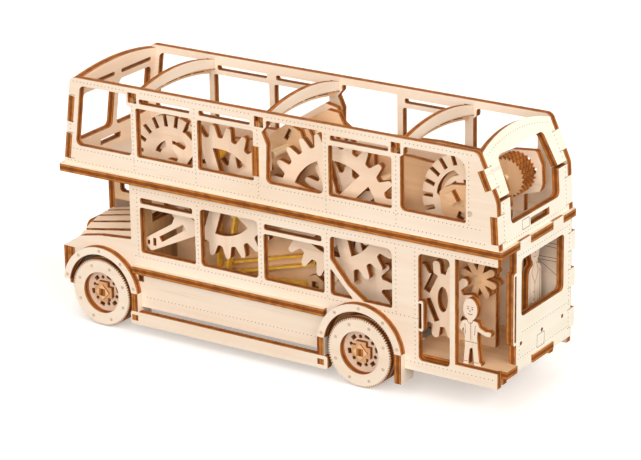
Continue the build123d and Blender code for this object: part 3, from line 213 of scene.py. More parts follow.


# soot of the laser's thin marks, whose line colour also paints shade into the arch gaps, and the
# pale heads of the round rivets
soot = {
    "dots": (0.150, 0.070, 0.035),
    "lines": (0.100, 0.045, 0.022),
    "pale": (0.600, 0.450, 0.330),
    "rough": 0.9,
    "gloss": 0.12,
    "grain": 900.0,
    "spread": 0.2,
}


def char(name, color):
    made, tree, shader = newMaterial(name)
    coords = put(tree, "ShaderNodeTexCoord").outputs["Object"]
    cloud = noise(tree, coords, soot["grain"], 2.0)
    darker = [v * (1.0 - soot["spread"]) for v in color]
    paler = [v * (1.0 + soot["spread"]) for v in color]
    tone = ramp(tree, cloud, [(0.3, darker), (0.7, paler)])
    tree.links.new(tone, shader.inputs["Base Color"])
    shader.inputs["Roughness"].default_value = soot["rough"]
    shader.inputs["Specular IOR Level"].default_value = soot["gloss"]
    return made


dowel = {
    "tones": ((0.3, (0.64, 0.42, 0.21)), (0.5, (0.80, 0.58, 0.34)), (0.7, (0.88, 0.69, 0.45))),
    "sawnEnd": (0.42, 0.22, 0.09, 1.0),
    "endShare": 0.45,
    "endRange": (0.8, 0.95),
    "bump": 0.25,
    "fibre": (700.0, 30.0, 700.0),
    "rough": 0.55,
}


def turnedWood(name):
    made, tree, shader = newMaterial(name)
    coords = put(tree, "ShaderNodeTexCoord")
    place, normal = coords.outputs["Object"], coords.outputs["Normal"]
    fibre = noise(tree, stretched(tree, place, dowel["fibre"]), 1.0, 3.0, 0.6)
    tone = ramp(tree, fibre, dowel["tones"])
    # sawn ends are darker than the turned sides
    ends = mapRange(tree, calc(tree, "ABSOLUTE", dot(tree, normal, (0, 1, 0))), *dowel["endRange"])
    tone = mixColor(tree, calc(tree, "MULTIPLY", ends, dowel["endShare"]), tone, dowel["sawnEnd"])
    tree.links.new(tone, shader.inputs["Base Color"])
    shader.inputs["Roughness"].default_value = dowel["rough"]
    depths = {"Strength": dowel["bump"], "Distance": birch["bumpDepth"], "Height": fibre}
    bump = put(tree, "ShaderNodeBump", depths)
    tree.links.new(bump.outputs[0], shader.inputs["Normal"])
    return made


rubber = {
    "tones": ((0.3, (0.80, 0.40, 0.03)), (0.55, (0.92, 0.55, 0.06)), (0.8, (0.97, 0.68, 0.15))),
    "rough": 0.38,
    "glow": 0.2,
    "glowReach": (0.9, 0.45, 0.1),
    "glowScale": 0.002,
    "grain": 300.0,
    "bump": 0.2,
}


def amberRubber(name):
    made, tree, shader = newMaterial(name)
    coords = put(tree, "ShaderNodeTexCoord").outputs["Object"]
    cloud = noise(tree, coords, rubber["grain"], 3.0)
    tone = ramp(tree, cloud, rubber["tones"])
    tree.links.new(tone, shader.inputs["Base Color"])
    shader.inputs["Roughness"].default_value = rubber["rough"]
    shader.inputs["Subsurface Weight"].default_value = rubber["glow"]
    shader.inputs["Subsurface Radius"].default_value = rubber["glowReach"]
    shader.inputs["Subsurface Scale"].default_value = rubber["glowScale"]
    depths = {"Strength": rubber["bump"], "Distance": birch["bumpDepth"], "Height": cloud}
    bump = put(tree, "ShaderNodeBump", depths)
    tree.links.new(bump.outputs[0], shader.inputs["Normal"])
    return made


def dress(node, material):
    data = nodes[node].data
    data.materials.clear()
    data.materials.append(material)


# each sheet: way through it, its low face (0.0 where the frame tells it), grain, whether near and
# far side are alike, veneer, thickness
acrossX, acrossY, upZ = (1, 0, 0), (0, 1, 0), (0, 0, 1)
toTail, toFar = (-1, 0, 0), (0, -1, 0)
noseLean = (0.9916, 0.0, 0.1295)
tailLowLean = (-0.99845, 0.0, 0.05569)
tailHighLean = (-0.91128, 0.0, 0.41179)
# the warm, gold and hub tones below carry painted shade of the insides and recesses on top of their
# veneer colour
sheets = {
    "upper_side_near": (acrossY, innerY, "X", True, "cream", ply),
    "upper_side_far": (acrossY, innerY, "X", True, "cream", ply),
    "lower_side_near": (acrossY, innerY, "X", True, "cream", ply),
    "lower_side_far": (acrossY, innerY, "X", True, "cream", ply),
    "upper_deck": (upZ, 83.6, "X", False, "cream", ply),
    "platform_floor": (upZ, 18.9, "X", False, "warmVeneerAndShade", ply),
    "saloon_floor": (upZ, 18.9, "X", False, "goldVeneerAndShade", ply),
    "waist_strips": (upZ, 34.0, "X", False, "cream", ply),
    "bonnet_slats": (upZ, 50.0, "X", False, "rose", 2.4),
    "upper_front_wall": (noseLean, 138.43, "Y", False, "rose", ply),
    # the tail walls take the pale tone, lighter partly as painted light of their lit side
    "upper_rear_wall_top": (tailHighLean, 164.52, "Y", False, "pale", ply),
    "upper_rear_wall_bottom": (tailLowLean, 136.07, "Y", False, "pale", ply),
    "lower_rear_wall": (acrossX, 0.0, "Y", False, "pale", ply),
    "roof_arch_leaves_rear": (acrossX, 0.0, "Y", False, "cream", 2.75),
    "roof_arch_leaves_front": (acrossX, 0.0, "Y", False, "warmVeneerAndShade", 2.75),
    "saloon_bulkhead": (acrossX, 0.0, "Z", False, "goldVeneerAndShade", ply),
    "nose_plate": (acrossX, 0.0, "Y", False, "cream", 3.7),
    "nose_backing": (acrossX, 0.0, "Y", False, "cream", 3.7),
    "radiator_grille": (acrossX, 0.0, "Z", False, "cream", 2.6),
    "headlamps": (acrossX, 0.0, "Z", False, "cream", 2.2),
    "bonnet_formers": (acrossX, 0.0, "Y", False, "rose", ply),
    "cab_front": (acrossX, 0.0, "Z", False, "rose", ply),
    "cross_members": (acrossX, 0.0, "Y", False, "warmVeneerAndShade", ply),
    "cab_side_wall": (acrossY, 0.0, "X", False, "warmVeneerAndShade", ply),
    "chassis_rails": (acrossY, 22.0, "X", True, "warmVeneerAndShade", ply),
    "front_fenders": (acrossY, outerY, "X", True, "cream", ply),
    "rear_fenders": (acrossY, outerY, "X", True, "cream", ply),
    "fender_uprights": (acrossX, 0.0, "Z", False, "cream", ply),
    "step_rails": (acrossY, outerY, "X", True, "cream", ply),
    "mechanism_plate_near": (acrossY, 4.0, "X", False, "warmVeneerAndShade", ply),
    "mechanism_plate_far": (acrossY, 0.0, "X", False, "rose", ply),
    "brackets": (acrossY, 0.0, "X", False, "warmVeneerAndShade", ply),
    "lever_arm": (acrossY, 0.0, "X", False, "rose", ply),
    "display_gear": (acrossY, 0.0, "Z", False, "rose", ply),
    "star_gears": (acrossY, 0.0, "Z", False, "warmVeneerAndShade", ply),
    "rear_disc": (acrossY, 0.0, "X", False, "rose", ply),
    "brake_lever": (acrossX, 0.0, "Z", False, "rose", 2.2),
    "ratchet_drum": (acrossY, 0.0, "Z", False, "warmVeneerAndShade", 3.1),
    "platform_figures": (acrossY, 29.4, "Z", False, "cream", ply),
    "front_wheel_rings": (acrossY, innerY, "X", True, "cream", ply),
    "rear_wheel_rings": (acrossY, innerY, "X", True, "cream", ply),
    "front_wheel_hubs": (acrossY, innerY, "X", True, "hub", ply),
    "rear_wheel_hubs": (acrossY, innerY, "X", True, "hub", ply),
    "front_axle_locks": (acrossY, outerY, "Z", True, "toast", 2.4),
    "rear_axle_locks": (acrossY, outerY, "Z", True, "toast", 2.4),
    "front_axle": (acrossX, 0.0, "Y", False, "toast", ply),
    "rear_axle": (acrossX, 0.0, "Y", False, "toast", ply),
    "axle_gear": (acrossY, 13.0, "X", False, "rose", ply),
    "idler_gear": (acrossY, 13.0, "Z", False, "rose", ply),
    "drive_gear": (acrossY, 20.0, "X", False, "rose", ply),
    "drive_pinion": (acrossY, 13.0, "X", False, "rose", ply),
    "second_gear": (acrossY, 20.0, "Z", False, "rose", ply),
    "second_pinion": (acrossY, 8.5, "X", False, "rose", ply),
    "disc_gear": (acrossY, 8.5, "X", False, "rose", ply),
}
for node in sorted(nodes):
    if node in sheets:
        thickness, low, grain, folded, tone, sheet = sheets[node]
        if low == 0.0:
            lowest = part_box(node)[0]
            low = (lowest.x if thickness == acrossX else lowest.y) / mm
        far = (acrossX, bus["tallFigureX"]) if node == "platform_figures" else None
        dress(node, plywood("plywood_" + node, thickness, low, grain, folded, tone, sheet, far))
    elif node.startswith("rubber"):
        dress(node, amberRubber("rubber_" + node))
    else:
        dress(node, turnedWood("dowel_" + node))
print("sheets dressed")


def toObject(name, mesh, materials, body):
    made = bpy.data.objects.new(name, mesh)
    bpy.context.scene.collection.objects.link(made)
    for material in materials:
        mesh.materials.append(material)
    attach(made, body)
    return made


def finished(bm, name):
    bmesh.ops.recalc_face_normals(bm, faces=bm.faces)
    mesh = bpy.data.meshes.new(name)
    bm.to_mesh(mesh)
    bm.free()
    return mesh


wheelRing = {
    "outer": 19.0,
    "valley": 17.8,
    "hole": 11.6,
    "teeth": 84,
    "rootShare": 0.86,
    "tipShare": 0.20,
    "faces": ((outerY, trimY), (innerY - ply, innerY)),
}


def ringOutline(settings):
    points = []
    step = 2 * math.pi / settings["teeth"]
    for k in range(settings["teeth"]):
        a = k * step
        root, tip = step * settings["rootShare"] / 2, step * settings["tipShare"] / 2
        for angle, radius in ((a - root, settings["valley"]), (a - tip, settings["outer"]),
                              (a + tip, settings["outer"]), (a + root, settings["valley"])):
            points.append((radius * math.cos(angle), radius * math.sin(angle)))
    return points


def ringMesh(settings, centreX, centreZ):
    bm = bmesh.new()
    outline = ringOutline(settings)
    for low, high in settings["faces"]:
        for side in (1, -1):
            rings = []
            for y in (low, high):
                outer, inner = [], []
                for x, z in outline:
                    share = settings["hole"] / math.hypot(x, z)
                    for ring, part in ((outer, 1.0), (inner, share)):
                        across, up = centreX + x * part, centreZ + z * part
                        ring.append(bm.verts.new((across * mm, side * y * mm, up * mm)))
                rings.append((outer, inner))
            count = len(outline)
            for k in range(count):
                n = (k + 1) % count
                (o0, i0), (o1, i1) = rings
                bm.faces.new((o0[k], o0[n], o1[n], o1[k]))
                bm.faces.new((i0[n], i0[k], i1[k], i1[n]))
                bm.faces.new((o0[n], o0[k], i0[k], i0[n]))
                bm.faces.new((o1[k], o1[n], i1[n], i1[k]))
    return finished(bm, "ring")


for name, station in bus["axles"].items():
    node = name + "_wheel_rings"
    mesh = ringMesh(wheelRing, noseX - station, bus["axleHeight"])
    material = bpy.data.materials["plywood_" + node]
    ring = toObject("toothed_rings_" + name, mesh, [material], name + "_wheels")
    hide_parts(node)
print("toothed rings made")


def arc(a, b, ra, rb, start, end, steps):
    turns = [math.radians(start + (end - start) * k / steps) for k in range(steps + 1)]
    return [(a + ra * math.cos(t), b + rb * math.sin(t)) for t in turns]


def circle(a, b, radius, sides):
    return arc(a, b, radius, radius, 0.0, 360.0 - 360.0 / sides, sides - 1)


# marks of the laser lie as thin skins on a board: its corner, ways across and up, way out
def board(corner, across, up, out):
    return tuple(Vector(v) for v in (corner, across, up, out))


def skin(bm, plane, outline, lift=0.03):
    corner, across, up, out = plane
    flat = [corner * mm + across * (a * mm) + up * (b * mm) for a, b in outline]
    low = [bm.verts.new(p) for p in flat]
    high = [bm.verts.new(p + out * (lift * mm)) for p in flat]
    bm.faces.new(high)
    bm.faces.new(low[::-1])
    for k in range(len(flat)):
        n = (k + 1) % len(flat)
        bm.faces.new((low[k], low[n], high[n], high[k]))


def spot(bm, plane, a, b, radius, sides=6):
    skin(bm, plane, circle(a, b, radius, sides))


def stroke(bm, plane, points, width, runOn=0.3):
    for (a0, b0), (a1, b1) in zip(points, points[1:]):
        length = math.hypot(a1 - a0, b1 - b0)
        wayA, wayB = (a1 - a0) / length * width, (b1 - b0) / length * width
        wa, wb = -wayB / 2, wayA / 2
        ea, eb = wayA * runOn, wayB * runOn  # ends run on a little, which closes the bends
        skin(bm, plane, [(a0 + wa - ea, b0 + wb - eb), (a0 - wa - ea, b0 - wb - eb),
                         (a1 - wa + ea, b1 - wb + eb), (a1 + wa + ea, b1 + wb + eb)])


def dotRow(bm, plane, start, end, settings, gaps=()):
    length = math.hypot(end[0] - start[0], end[1] - start[1])
    count = max(1, round(length / settings["pitch"]))
    for k in range(count + 1):
        a = start[0] + (end[0] - start[0]) * k / count
        b = start[1] + (end[1] - start[1]) * k / count
        if any(low < a < high for low, high in gaps):
            continue
        spot(bm, plane, a, b, settings["radius"], settings["sides"])


def upAlong(out):
    turn = 1.0 if out[0] > 0.0 else -1.0
    return (-turn * out[2], 0.0, turn * out[0])


boards = {
    "near": board((noseX, outerY, 0.0), toTail, upZ, acrossY),
    "far": board((noseX, -outerY, 0.0), toTail, upZ, toFar),
    "nearTrim": board((noseX, trimY, 0.0), toTail, upZ, acrossY),
    "farTrim": board((noseX, -trimY, 0.0), toTail, upZ, toFar),
    "farInside": board((noseX, -innerY, 0.0), toTail, upZ, acrossY),
    "tailLow": board((-135.4, 0.0, 87.6), acrossY, upAlong(tailLowLean), tailLowLean),
    "tailHigh": board((-134.0, 0.0, 112.7), acrossY, upAlong(tailHighLean), tailHighLean),
    "tail": board((-137.0, 0.0, 0.0), acrossY, upZ, toTail),
    "nose": board((132.2, 0.0, 87.6), acrossY, upAlong(noseLean), noseLean),
    "cabFace": board((131.2, 0.0, 0.0), acrossY, upZ, acrossX),
    "nosePlate": board((135.4, 0.0, 0.0), acrossY, upZ, acrossX),
    "child": board((noseX, 33.4, 0.0), toTail, upZ, acrossY),
    "tall": board((bus["tallFigureX"], 0.0, 0.0), acrossY, upZ, toTail),
}


# sheets cut by an outline with windows, in place of the plainer solids
def cutSheet(bm, plane, outlines, thick):
    corner, across, up, out = plane
    rings, edges, behind = [], [], {}
    for outline in outlines:
        ring = []
        for a, b in outline:
            place = corner * mm + across * (a * mm) + up * (b * mm)
            vert = bm.verts.new(place)
            behind[vert] = bm.verts.new(place - out * (thick * mm))
            ring.append(vert)
        for k, vert in enumerate(ring):
            edges.append(bm.edges.new((vert, ring[(k + 1) % len(ring)])))
        rings.append(ring)
    filled = bmesh.ops.triangle_fill(bm, use_beauty=True, use_dissolve=False, edges=edges)
    for item in filled["geom"]:
        if isinstance(item, bmesh.types.BMFace):
            bm.faces.new([behind[vert] for vert in reversed(item.verts)])
    for ring in rings:
        for k, vert in enumerate(ring):
            ahead = ring[(k + 1) % len(ring)]
            bm.faces.new((vert, ahead, behind[ahead], behind[vert]))


def roundedBox(a0, b0, a1, b1, radius, steps=4):
    points = []
    for a, b, start in ((a1, b1, 0.0), (a0, b1, 90.0), (a0, b0, 180.0), (a1, b0, 270.0)):
        inA = a - radius if a == a1 else a + radius
        inB = b - radius if b == b1 else b + radius
        points += arc(inA, inB, radius, radius, start, start + 90.0, steps)
    return points


# windows and slots: from a, from b, to a, to b, corner radius; arch: crown, rise and steps;
# the tail's window, open at its top: half its width, sill, corner radius
endWalls = {
    "noseTenons": ((3.6, 18.0), (24.4, 39.2)),
    "noseArch": (51.82, 3.6, 10),
    "noseWindow": (1.8, 12.0, 30.4, 38.6, 2.6),
    "noseTransom": (3.0, 41.9, 29.6, 44.2, 0.9),
    "noseSlot": (-6.2, 3.5, 11.6, 6.9, 0.4),
    "tailTenon": (3.2, 17.6),
    "tailTop": 24.34,
    "tailWindow": (24.6, 10.0, 3.0),
    "tailSlot": (-13.6, 4.0, 5.6, 7.8, 0.4),
}


def noseOutlines(settings):
    crown, rise, steps = settings["noseArch"]
    right = [(0.0, 0.0), (innerY, 0.0)]
    for low, high in settings["noseTenons"]:
        right += [(innerY, low), (outerY, low), (outerY, high), (innerY, high)]
    for k in range(steps + 1):
        share = 1 - k / steps
        right.append((innerY * share, crown - rise * share ** 2))
    outer = right + [(-a, b) for a, b in reversed(right[1:-1])]
    outlines = [outer]
    for key in ("noseWindow", "noseTransom"):
        a0, b0, a1, b1, radius = settings[key]
        outlines.append(roundedBox(a0, b0, a1, b1, radius))
        outlines.append(roundedBox(-a1, b0, -a0, b1, radius))
    outlines.append(roundedBox(*settings["noseSlot"]))
    return outlines


def tailOutlines(settings):
    low, high = settings["tailTenon"]
    top = settings["tailTop"]
    side, sill, radius = settings["tailWindow"]
    right = [(innerY, 0.0), (innerY, low), (outerY, low), (outerY, high), (innerY, high)]
    right += [(innerY, top), (side, top)]
    right += arc(side - radius, sill + radius, radius, radius, 0.0, -90.0, 5)
    outer = right + [(-a, b) for a, b in reversed(right)]
    return [outer, roundedBox(*settings["tailSlot"])]


childShape = {
    "station": 250.0,
    "foot": 22.9,
    "height": 36.7,
    "right": ((1.4, 46.6), (4.3, 46.0), (5.4, 43.4), (8.6, 41.9), (11.0, 42.3), (12.1, 41.4),
              (11.6, 39.7), (8.4, 39.8), (4.3, 41.4), (4.0, 38.0), (4.2, 34.6), (4.4, 32.4),
              (5.2, 25.0), (6.4, 24.0), (6.4, 22.9), (2.4, 22.9), (1.4, 32.0)),
    "left": ((-0.2, 31.4), (-0.9, 25.0), (-0.9, 22.9), (-3.8, 22.9), (-3.6, 24.6), (-3.0, 32.4),
             (-3.1, 38.0), (-3.9, 42.6), (-4.6, 40.2), (-6.3, 41.4), (-5.2, 44.6), (-3.8, 46.0),
             (-1.4, 46.6)),
    "head": (0.0, 52.3, 4.1, 5.8, 250.0, -70.0, 24),
}
tallShape = {
    "y": -21.6,
    "foot": 22.9,
    "side": ((7.4, 22.9), (6.6, 56.0), (5.2, 58.4), (2.5, 59.6), (2.5, 61.6)),
    "head": (0.0, 67.4, 4.5, 6.9, -56.0, 236.0, 24),
}


def childOutline(a):
    points = childShape["right"] + childShape["left"] + tuple(arc(*childShape["head"]))
    return [(a + x, b) for x, b in points]


def tallOutline(a):
    side = list(tallShape["side"])
    points = side + arc(*tallShape["head"]) + [(-x, b) for x, b in reversed(side)]
    return [(a + x, b) for x, b in points]


cutSheets = {
    "upper_front_wall": (("nose", noseOutlines(endWalls)),),
    "upper_rear_wall_bottom": (("tailLow", tailOutlines(endWalls)),),
    "platform_figures": (("child", [childOutline(childShape["station"])]),
                         ("tall", [tallOutline(tallShape["y"])])),
}
for node, shapes in cutSheets.items():
    bm = bmesh.new()
    for plane, outlines in shapes:
        cutSheet(bm, boards[plane], outlines, ply)
    material = bpy.data.materials["plywood_" + node]
    piece = toObject("cut_" + node, finished(bm, node), [material], "root")
    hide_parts(node)
print("cut sheets made")


# slot: distance, depth, width and first angle; hole: distance, radius and first angle;
# lock: reach, half an arm's width and thickness; washer: reach and thickness
wheelDress = {
    "discR": 19.0,
    "discSides": 72,
    "holeSides": 12,
    "axleHalf": 2.0,
    "slot": (8.4, 2.2, 3.0, 12.0),
    "hole": (7.6, 1.05, 42.0),
    "count": 6,
    "lock": (5.6, 3.0, 2.4),
    "washer": (4.4, 0.8),
}


def polar(centre, angle, along, beside):
    t = math.radians(angle)
    return (centre[0] + along * math.cos(t) - beside * math.sin(t),
            centre[1] + along * math.sin(t) + beside * math.cos(t))


corners = ((-1, -1), (1, -1), (1, 1), (-1, 1))


def square(centre, half):
    return [(centre[0] + a * half, centre[1] + b * half) for a, b in corners]


def hubOutlines(settings, centre):
    out, deep, wide, first = settings["slot"]
    holeOut, holeR, holeFirst = settings["hole"]
    outlines = [circle(centre[0], centre[1], settings["discR"], settings["discSides"])]
    outlines.append(square(centre, settings["axleHalf"]))
    for k in range(settings["count"]):
        turn = 360.0 * k / settings["count"]
        outlines.append([polar(centre, first + turn, out + a * deep / 2, b * wide / 2)
                         for a, b in corners])
        a, b = polar(centre, holeFirst + turn, holeOut, 0.0)
        outlines.append(circle(a, b, holeR, settings["holeSides"]))
    return outlines


def lockOutlines(settings, centre):
    reach, arm = settings["lock"][:2]
    corner = ((reach, arm), (arm, arm), (arm, reach))
    points = []
    for turn in range(4):
        points += [polar(centre, 90.0 * turn, a, b) for a, b in corner]
    return [points, square(centre, settings["axleHalf"])]


def washerOutlines(settings, centre):
    diamond = [polar(centre, 90.0 * k, settings["washer"][0], 0.0) for k in range(4)]
    return [diamond, square(centre, settings["axleHalf"])]


for name, station in bus["axles"].items():
    centre = (station, bus["axleHeight"])
    lockThick, washerThick = wheelDress["lock"][2], wheelDress["washer"][1]
    layers = (
        ("_wheel_hubs", hubOutlines, outerY, ply),
        ("_axle_locks", lockOutlines, outerY + lockThick, lockThick),
        ("_axle_washers", washerOutlines, outerY + lockThick + washerThick, washerThick),
    )
    for ending, outlines, y, thick in layers:
        bm = bmesh.new()
        for side in (1, -1):
            plane = board((noseX, side * y, 0.0), toTail, upZ, (0, side, 0))
            cutSheet(bm, plane, outlines(wheelDress, centre), thick)
        node = name + ending
        if node in nodes:
            material = bpy.data.materials["plywood_" + node]
        else:
            material = plywood("plywood_" + node, acrossY, y - thick, "X", True, "warmVeneerAndShade", thick)
        piece = toObject("cut_" + node, finished(bm, node), [material], name + "_wheels")
        if node in nodes:
            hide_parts(node)
print("wheel hubs made")


dotMark, lineAndGapShadeMark, paleMark = (char("char_" + key, soot[key]) for key in ("dots", "lines", "pale"))

# rows of dots: from a, from b, to a, to b on the board that they lie on
rivets = {
    "pitch": 2.35,
    "radius": 0.27,
    "sides": 6,
    "archGaps": ((43.6, 52.4), (123.6, 132.6), (205.4, 214.4)),
    "roofRail": (9.6, 134.6, 253.0, 134.6),
    "tailArch": {"count": 27, "first": -29.9, "step": 2.3, "top": 27.2, "drop": 5.6},
}
sideRows = (
    (5.4, 97.0, 258.0, 97.0), (3.6, 90.0, 260.5, 90.0),
    (47.8, 100.5, 47.8, 126.5), (87.7, 91.5, 87.7, 131.5), (127.0, 119.5, 127.0, 126.5),
    (168.3, 91.5, 168.3, 131.5), (209.8, 91.5, 209.8, 126.5), (251.6, 98.5, 251.6, 130.5),
    (6.2, 98.5, 6.2, 131.0), (127.0, 91.5, 127.0, 100.0), (47.8, 91.5, 47.8, 98.0),
    (46.5, 80.6, 265.5, 80.6), (46.5, 43.2, 212.0, 43.2), (53.0, 20.6, 162.5, 20.6),
    (48.5, 44.5, 48.5, 78.5), (87.7, 44.5, 87.7, 78.5), (127.6, 44.5, 127.6, 78.5),
    (168.4, 44.5, 168.4, 78.5), (209.4, 44.5, 209.4, 78.5),
)
boardRows = {
    "near": ((212.0, 43.2, 222.0, 43.2), (215.5, 19.2, 265.5, 19.2), (220.6, 21.5, 220.6, 78.5)),
    "far": ((212.0, 43.2, 262.0, 43.2), (215.5, 19.2, 265.5, 19.2), (220.6, 21.5, 220.6, 78.5),
            (262.0, 21.5, 262.0, 78.5), (4.5, 80.6, 42.0, 80.6), (4.5, 51.6, 42.0, 51.6)),
    "tailLow": ((-31.5, 2.2, 31.5, 2.2), (-31.4, 4.4, -31.4, 23.0), (31.4, 4.4, 31.4, 23.0)),
    "tailHigh": ((-31.4, 3.6, -31.4, 17.6), (31.4, 3.6, 31.4, 17.6)),
    "tail": ((-31.4, 80.4, 20.4, 80.4), (-31.4, 38.6, 16.0, 38.6), (-31.4, 25.4, 20.4, 25.4),
             (-31.4, 27.6, -31.4, 78.0), (19.6, 27.6, 19.6, 32.0)),
    "nose": ((-31.0, 2.2, 31.0, 2.2), (-31.0, 8.8, 31.0, 8.8), (-31.6, 12.6, -31.6, 42.0),
             (0.0, 12.6, 0.0, 42.0), (31.6, 12.6, 31.6, 42.0)),
    "cabFace": ((-31.8, 81.6, -0.2, 81.6), (-31.8, 52.6, -0.2, 52.6), (-31.8, 54.8, -31.8, 79.6),
                (-0.9, 54.8, -0.9, 79.6)),
    "nosePlate": ((-35.4, 26.0, -35.4, 38.4), (35.4, 26.0, 35.4, 38.4)),
}


def archDots(bm, plane, settings):
    for k in range(settings["count"]):
        y = settings["first"] + k * settings["step"]
        spot(bm, plane, y, settings["top"] - settings["drop"] * (y / innerY) ** 2, rivets["radius"])


bm = bmesh.new()
for name, rows in boardRows.items():
    if name in ("near", "far"):
        a0, b0, a1, b1 = rivets["roofRail"]
        dotRow(bm, boards[name], (a0, b0), (a1, b1), rivets, rivets["archGaps"])
        rows = sideRows + rows
    for a0, b0, a1, b1 in rows:
        dotRow(bm, boards[name], (a0, b0), (a1, b1), rivets)
archDots(bm, boards["tailHigh"], rivets["tailArch"])
toObject("laser_rivet_dots", finished(bm, "dots"), [dotMark], "root")
print("rivet dots made")


# pale round rivets on fenders and wheel rings
bigRivets = {
    "radius": 0.95,
    "fenderPlaces": ((24.6, 22.8), (189.4, 23.4)),
    "fenderAngles": (14.0, 52.0, 90.0, 128.0, 166.0),
    "wheelR": 15.5,
    "wheelCount": 8,
    "fenderHeight": 19.8,
    "lowest": 23.5,
    "sides": 14,
    "firstAngle": 22.0,
    "pegEnd": (252.3, 104.4, 1.4, 18),
}
bm = bmesh.new()
for name in ("nearTrim", "farTrim"):
    for station, radius in bigRivets["fenderPlaces"]:
        for angle in bigRivets["fenderAngles"]:
            a, b = polar((station, bigRivets["fenderHeight"]), angle, radius, 0.0)
            if b > bigRivets["lowest"]:
                spot(bm, boards[name], a, b, bigRivets["radius"], bigRivets["sides"])
for name in ("near", "far"):
    spot(bm, boards[name], *bigRivets["pegEnd"])
toObject("fender_rivets", finished(bm, "fenderRivets"), [paleMark], "root")
for name, station in bus["axles"].items():
    bm = bmesh.new()
    for side in ("nearTrim", "farTrim"):
        for k in range(bigRivets["wheelCount"]):
            angle = bigRivets["firstAngle"] + 360.0 * k / bigRivets["wheelCount"]
            a, b = polar((station, bus["axleHeight"]), angle, bigRivets["wheelR"], 0.0)
            spot(bm, boards[side], a, b, bigRivets["radius"], bigRivets["sides"])
    mesh = finished(bm, "ringRivets")
    toObject("ring_rivets_" + name, mesh, [paleMark], name + "_wheels")
print("round rivets made")


# engraved strokes: plain plates, stair lines, joint ticks, drawn faces and clothes; with them, dark
# strokes of painted shade in the gaps between the arch leaves
engraving = {
    "line": 0.32,
    "thin": 0.24,
    "gapShadeWidth": 0.45,
    "spotSides": 8,
    "plates": (("tail", -6.2, 24.6, 1.2, 31.4), ("tailLow", 6.8, 4.0, 13.8, 8.9),
               ("nosePlate", 17.6, 18.6, 24.4, 22.6)),
    "archStations": (48.0, 128.1, 209.9),
    "archLine": {"foot": 129.0, "crown": 2.2, "drop": 4.0, "steps": 4},
    "archGapShade": ((-27.0, -17.4), (-15.0, -5.0), (-2.6, 7.0), (9.4, 18.0), (20.4, 28.0)),
    "tickUpper": ((4.6, 91.2), (4.6, 105.6), (5.4, 112.0), (7.0, 126.8)),
    "tickUpperLength": 3.4,
    "stairs": ((246.0, 67.7, 262.0, 67.5), (246.0, 65.9, 262.0, 65.4), (246.0, 59.4, 262.0, 59.8),
               (246.0, 57.6, 262.0, 58.0), (252.0, 57.0, 262.0, 50.6)),
}
# joint ticks of a board: where they begin, how long they are, at which heights
jointTicks = {
    "far": ((264.0,), 4.2, (26.0, 44.0, 68.0)),
    "tailLow": ((-33.5, 30.3), 3.2, (3.2, 17.6)),
    "tailHigh": ((-33.5, 30.3), 3.2, (6.6, 17.2)),
    "tail": ((-33.6,), 3.2, (24.0, 34.0, 46.0, 56.0, 66.0, 76.0)),
}


def rectangle(bm, plane, a0, b0, a1, b1, width):
    stroke(bm, plane, [(a0, b0), (a1, b0), (a1, b1), (a0, b1), (a0, b0)], width)


# places of a figure's strokes, from its middle and its head or foot; what it has twice is mirrored
childFace = {
    "headShare": 0.80,
    "eye": (1.25, 0.3, 0.42),
    "brow": ((0.7, 1.35), (1.9, 1.55)),
    "nose": ((0.0, -0.1), (-0.25, -1.1), (0.2, -1.15)),
    "mouth": ((-1.2, -2.2), (-0.4, -2.65), (0.5, -2.65), (1.3, -2.15)),
    "collar": (0.64, 1.5),
    "sleeve": ((3.0, 0.58), (2.6, 0.44)),
    "belt": ((-2.9, 0.33), (3.9, 0.33)),
    "seam": ((0.4, 0.62), (0.4, 0.36)),
    "shoes": ((-3.6, -1.3), (2.5, 4.8)),
    "shoeHeight": 1.5,
}
tallFace = {
    "head": 44.4,
    "eye": (1.7, 0.6, 0.45),
    "brow": ((0.9, 2.0), (2.7, 2.3)),
    "hair": ((4.8, 3.0), (3.4, 5.2), (0.4, 5.9)),
    "nose": ((0.0, 0.2), (-0.3, -1.4), (0.3, -1.5)),
    "mouth": ((-1.6, -3.2), (0.0, -3.7), (1.6, -3.2)),
    "lapel": ((1.0, 38.0), (3.4, 33.0), (0.0, 26.0)),
    "sleeve": ((5.2, 33.0), (5.0, 12.0)),
    "pocket": (4.4, 1.5, 13.0, 16.4),
    "seam": ((0.0, 26.0), (0.0, 1.0)),
    "buttons": (1.2, (22.0, 18.0, 14.0), 0.35),
}


def childMarks(bm, plane, shape, face):
    line, thin = engraving["line"], engraving["thin"]
    a, foot, height = shape["station"], shape["foot"], shape["height"]
    headB = foot + height * face["headShare"]
    eyeA, eyeB, eyeR = face["eye"]
    for side in (-1, 1):
        spot(bm, plane, a + side * eyeA, headB + eyeB, eyeR, engraving["spotSides"])
        stroke(bm, plane, [(a + side * x, headB + b) for x, b in face["brow"]], thin)
        stroke(bm, plane, [(a + side * x, foot + height * b) for x, b in face["sleeve"]], thin)
    stroke(bm, plane, [(a + x, headB + b) for x, b in face["nose"]], thin)
    stroke(bm, plane, [(a + x, headB + b) for x, b in face["mouth"]], line)
    collarShare, collarR = face["collar"]
    collarB = foot + height * collarShare
    stroke(bm, plane, arc(a, collarB, collarR, collarR, 180.0, 360.0, engraving["spotSides"]), thin)
    for key in ("belt", "seam"):
        stroke(bm, plane, [(a + x, foot + height * b) for x, b in face[key]], thin)
    for low, high in face["shoes"]:
        b = foot + face["shoeHeight"]
        stroke(bm, plane, [(a + low, b), (a + high, b)], thin)


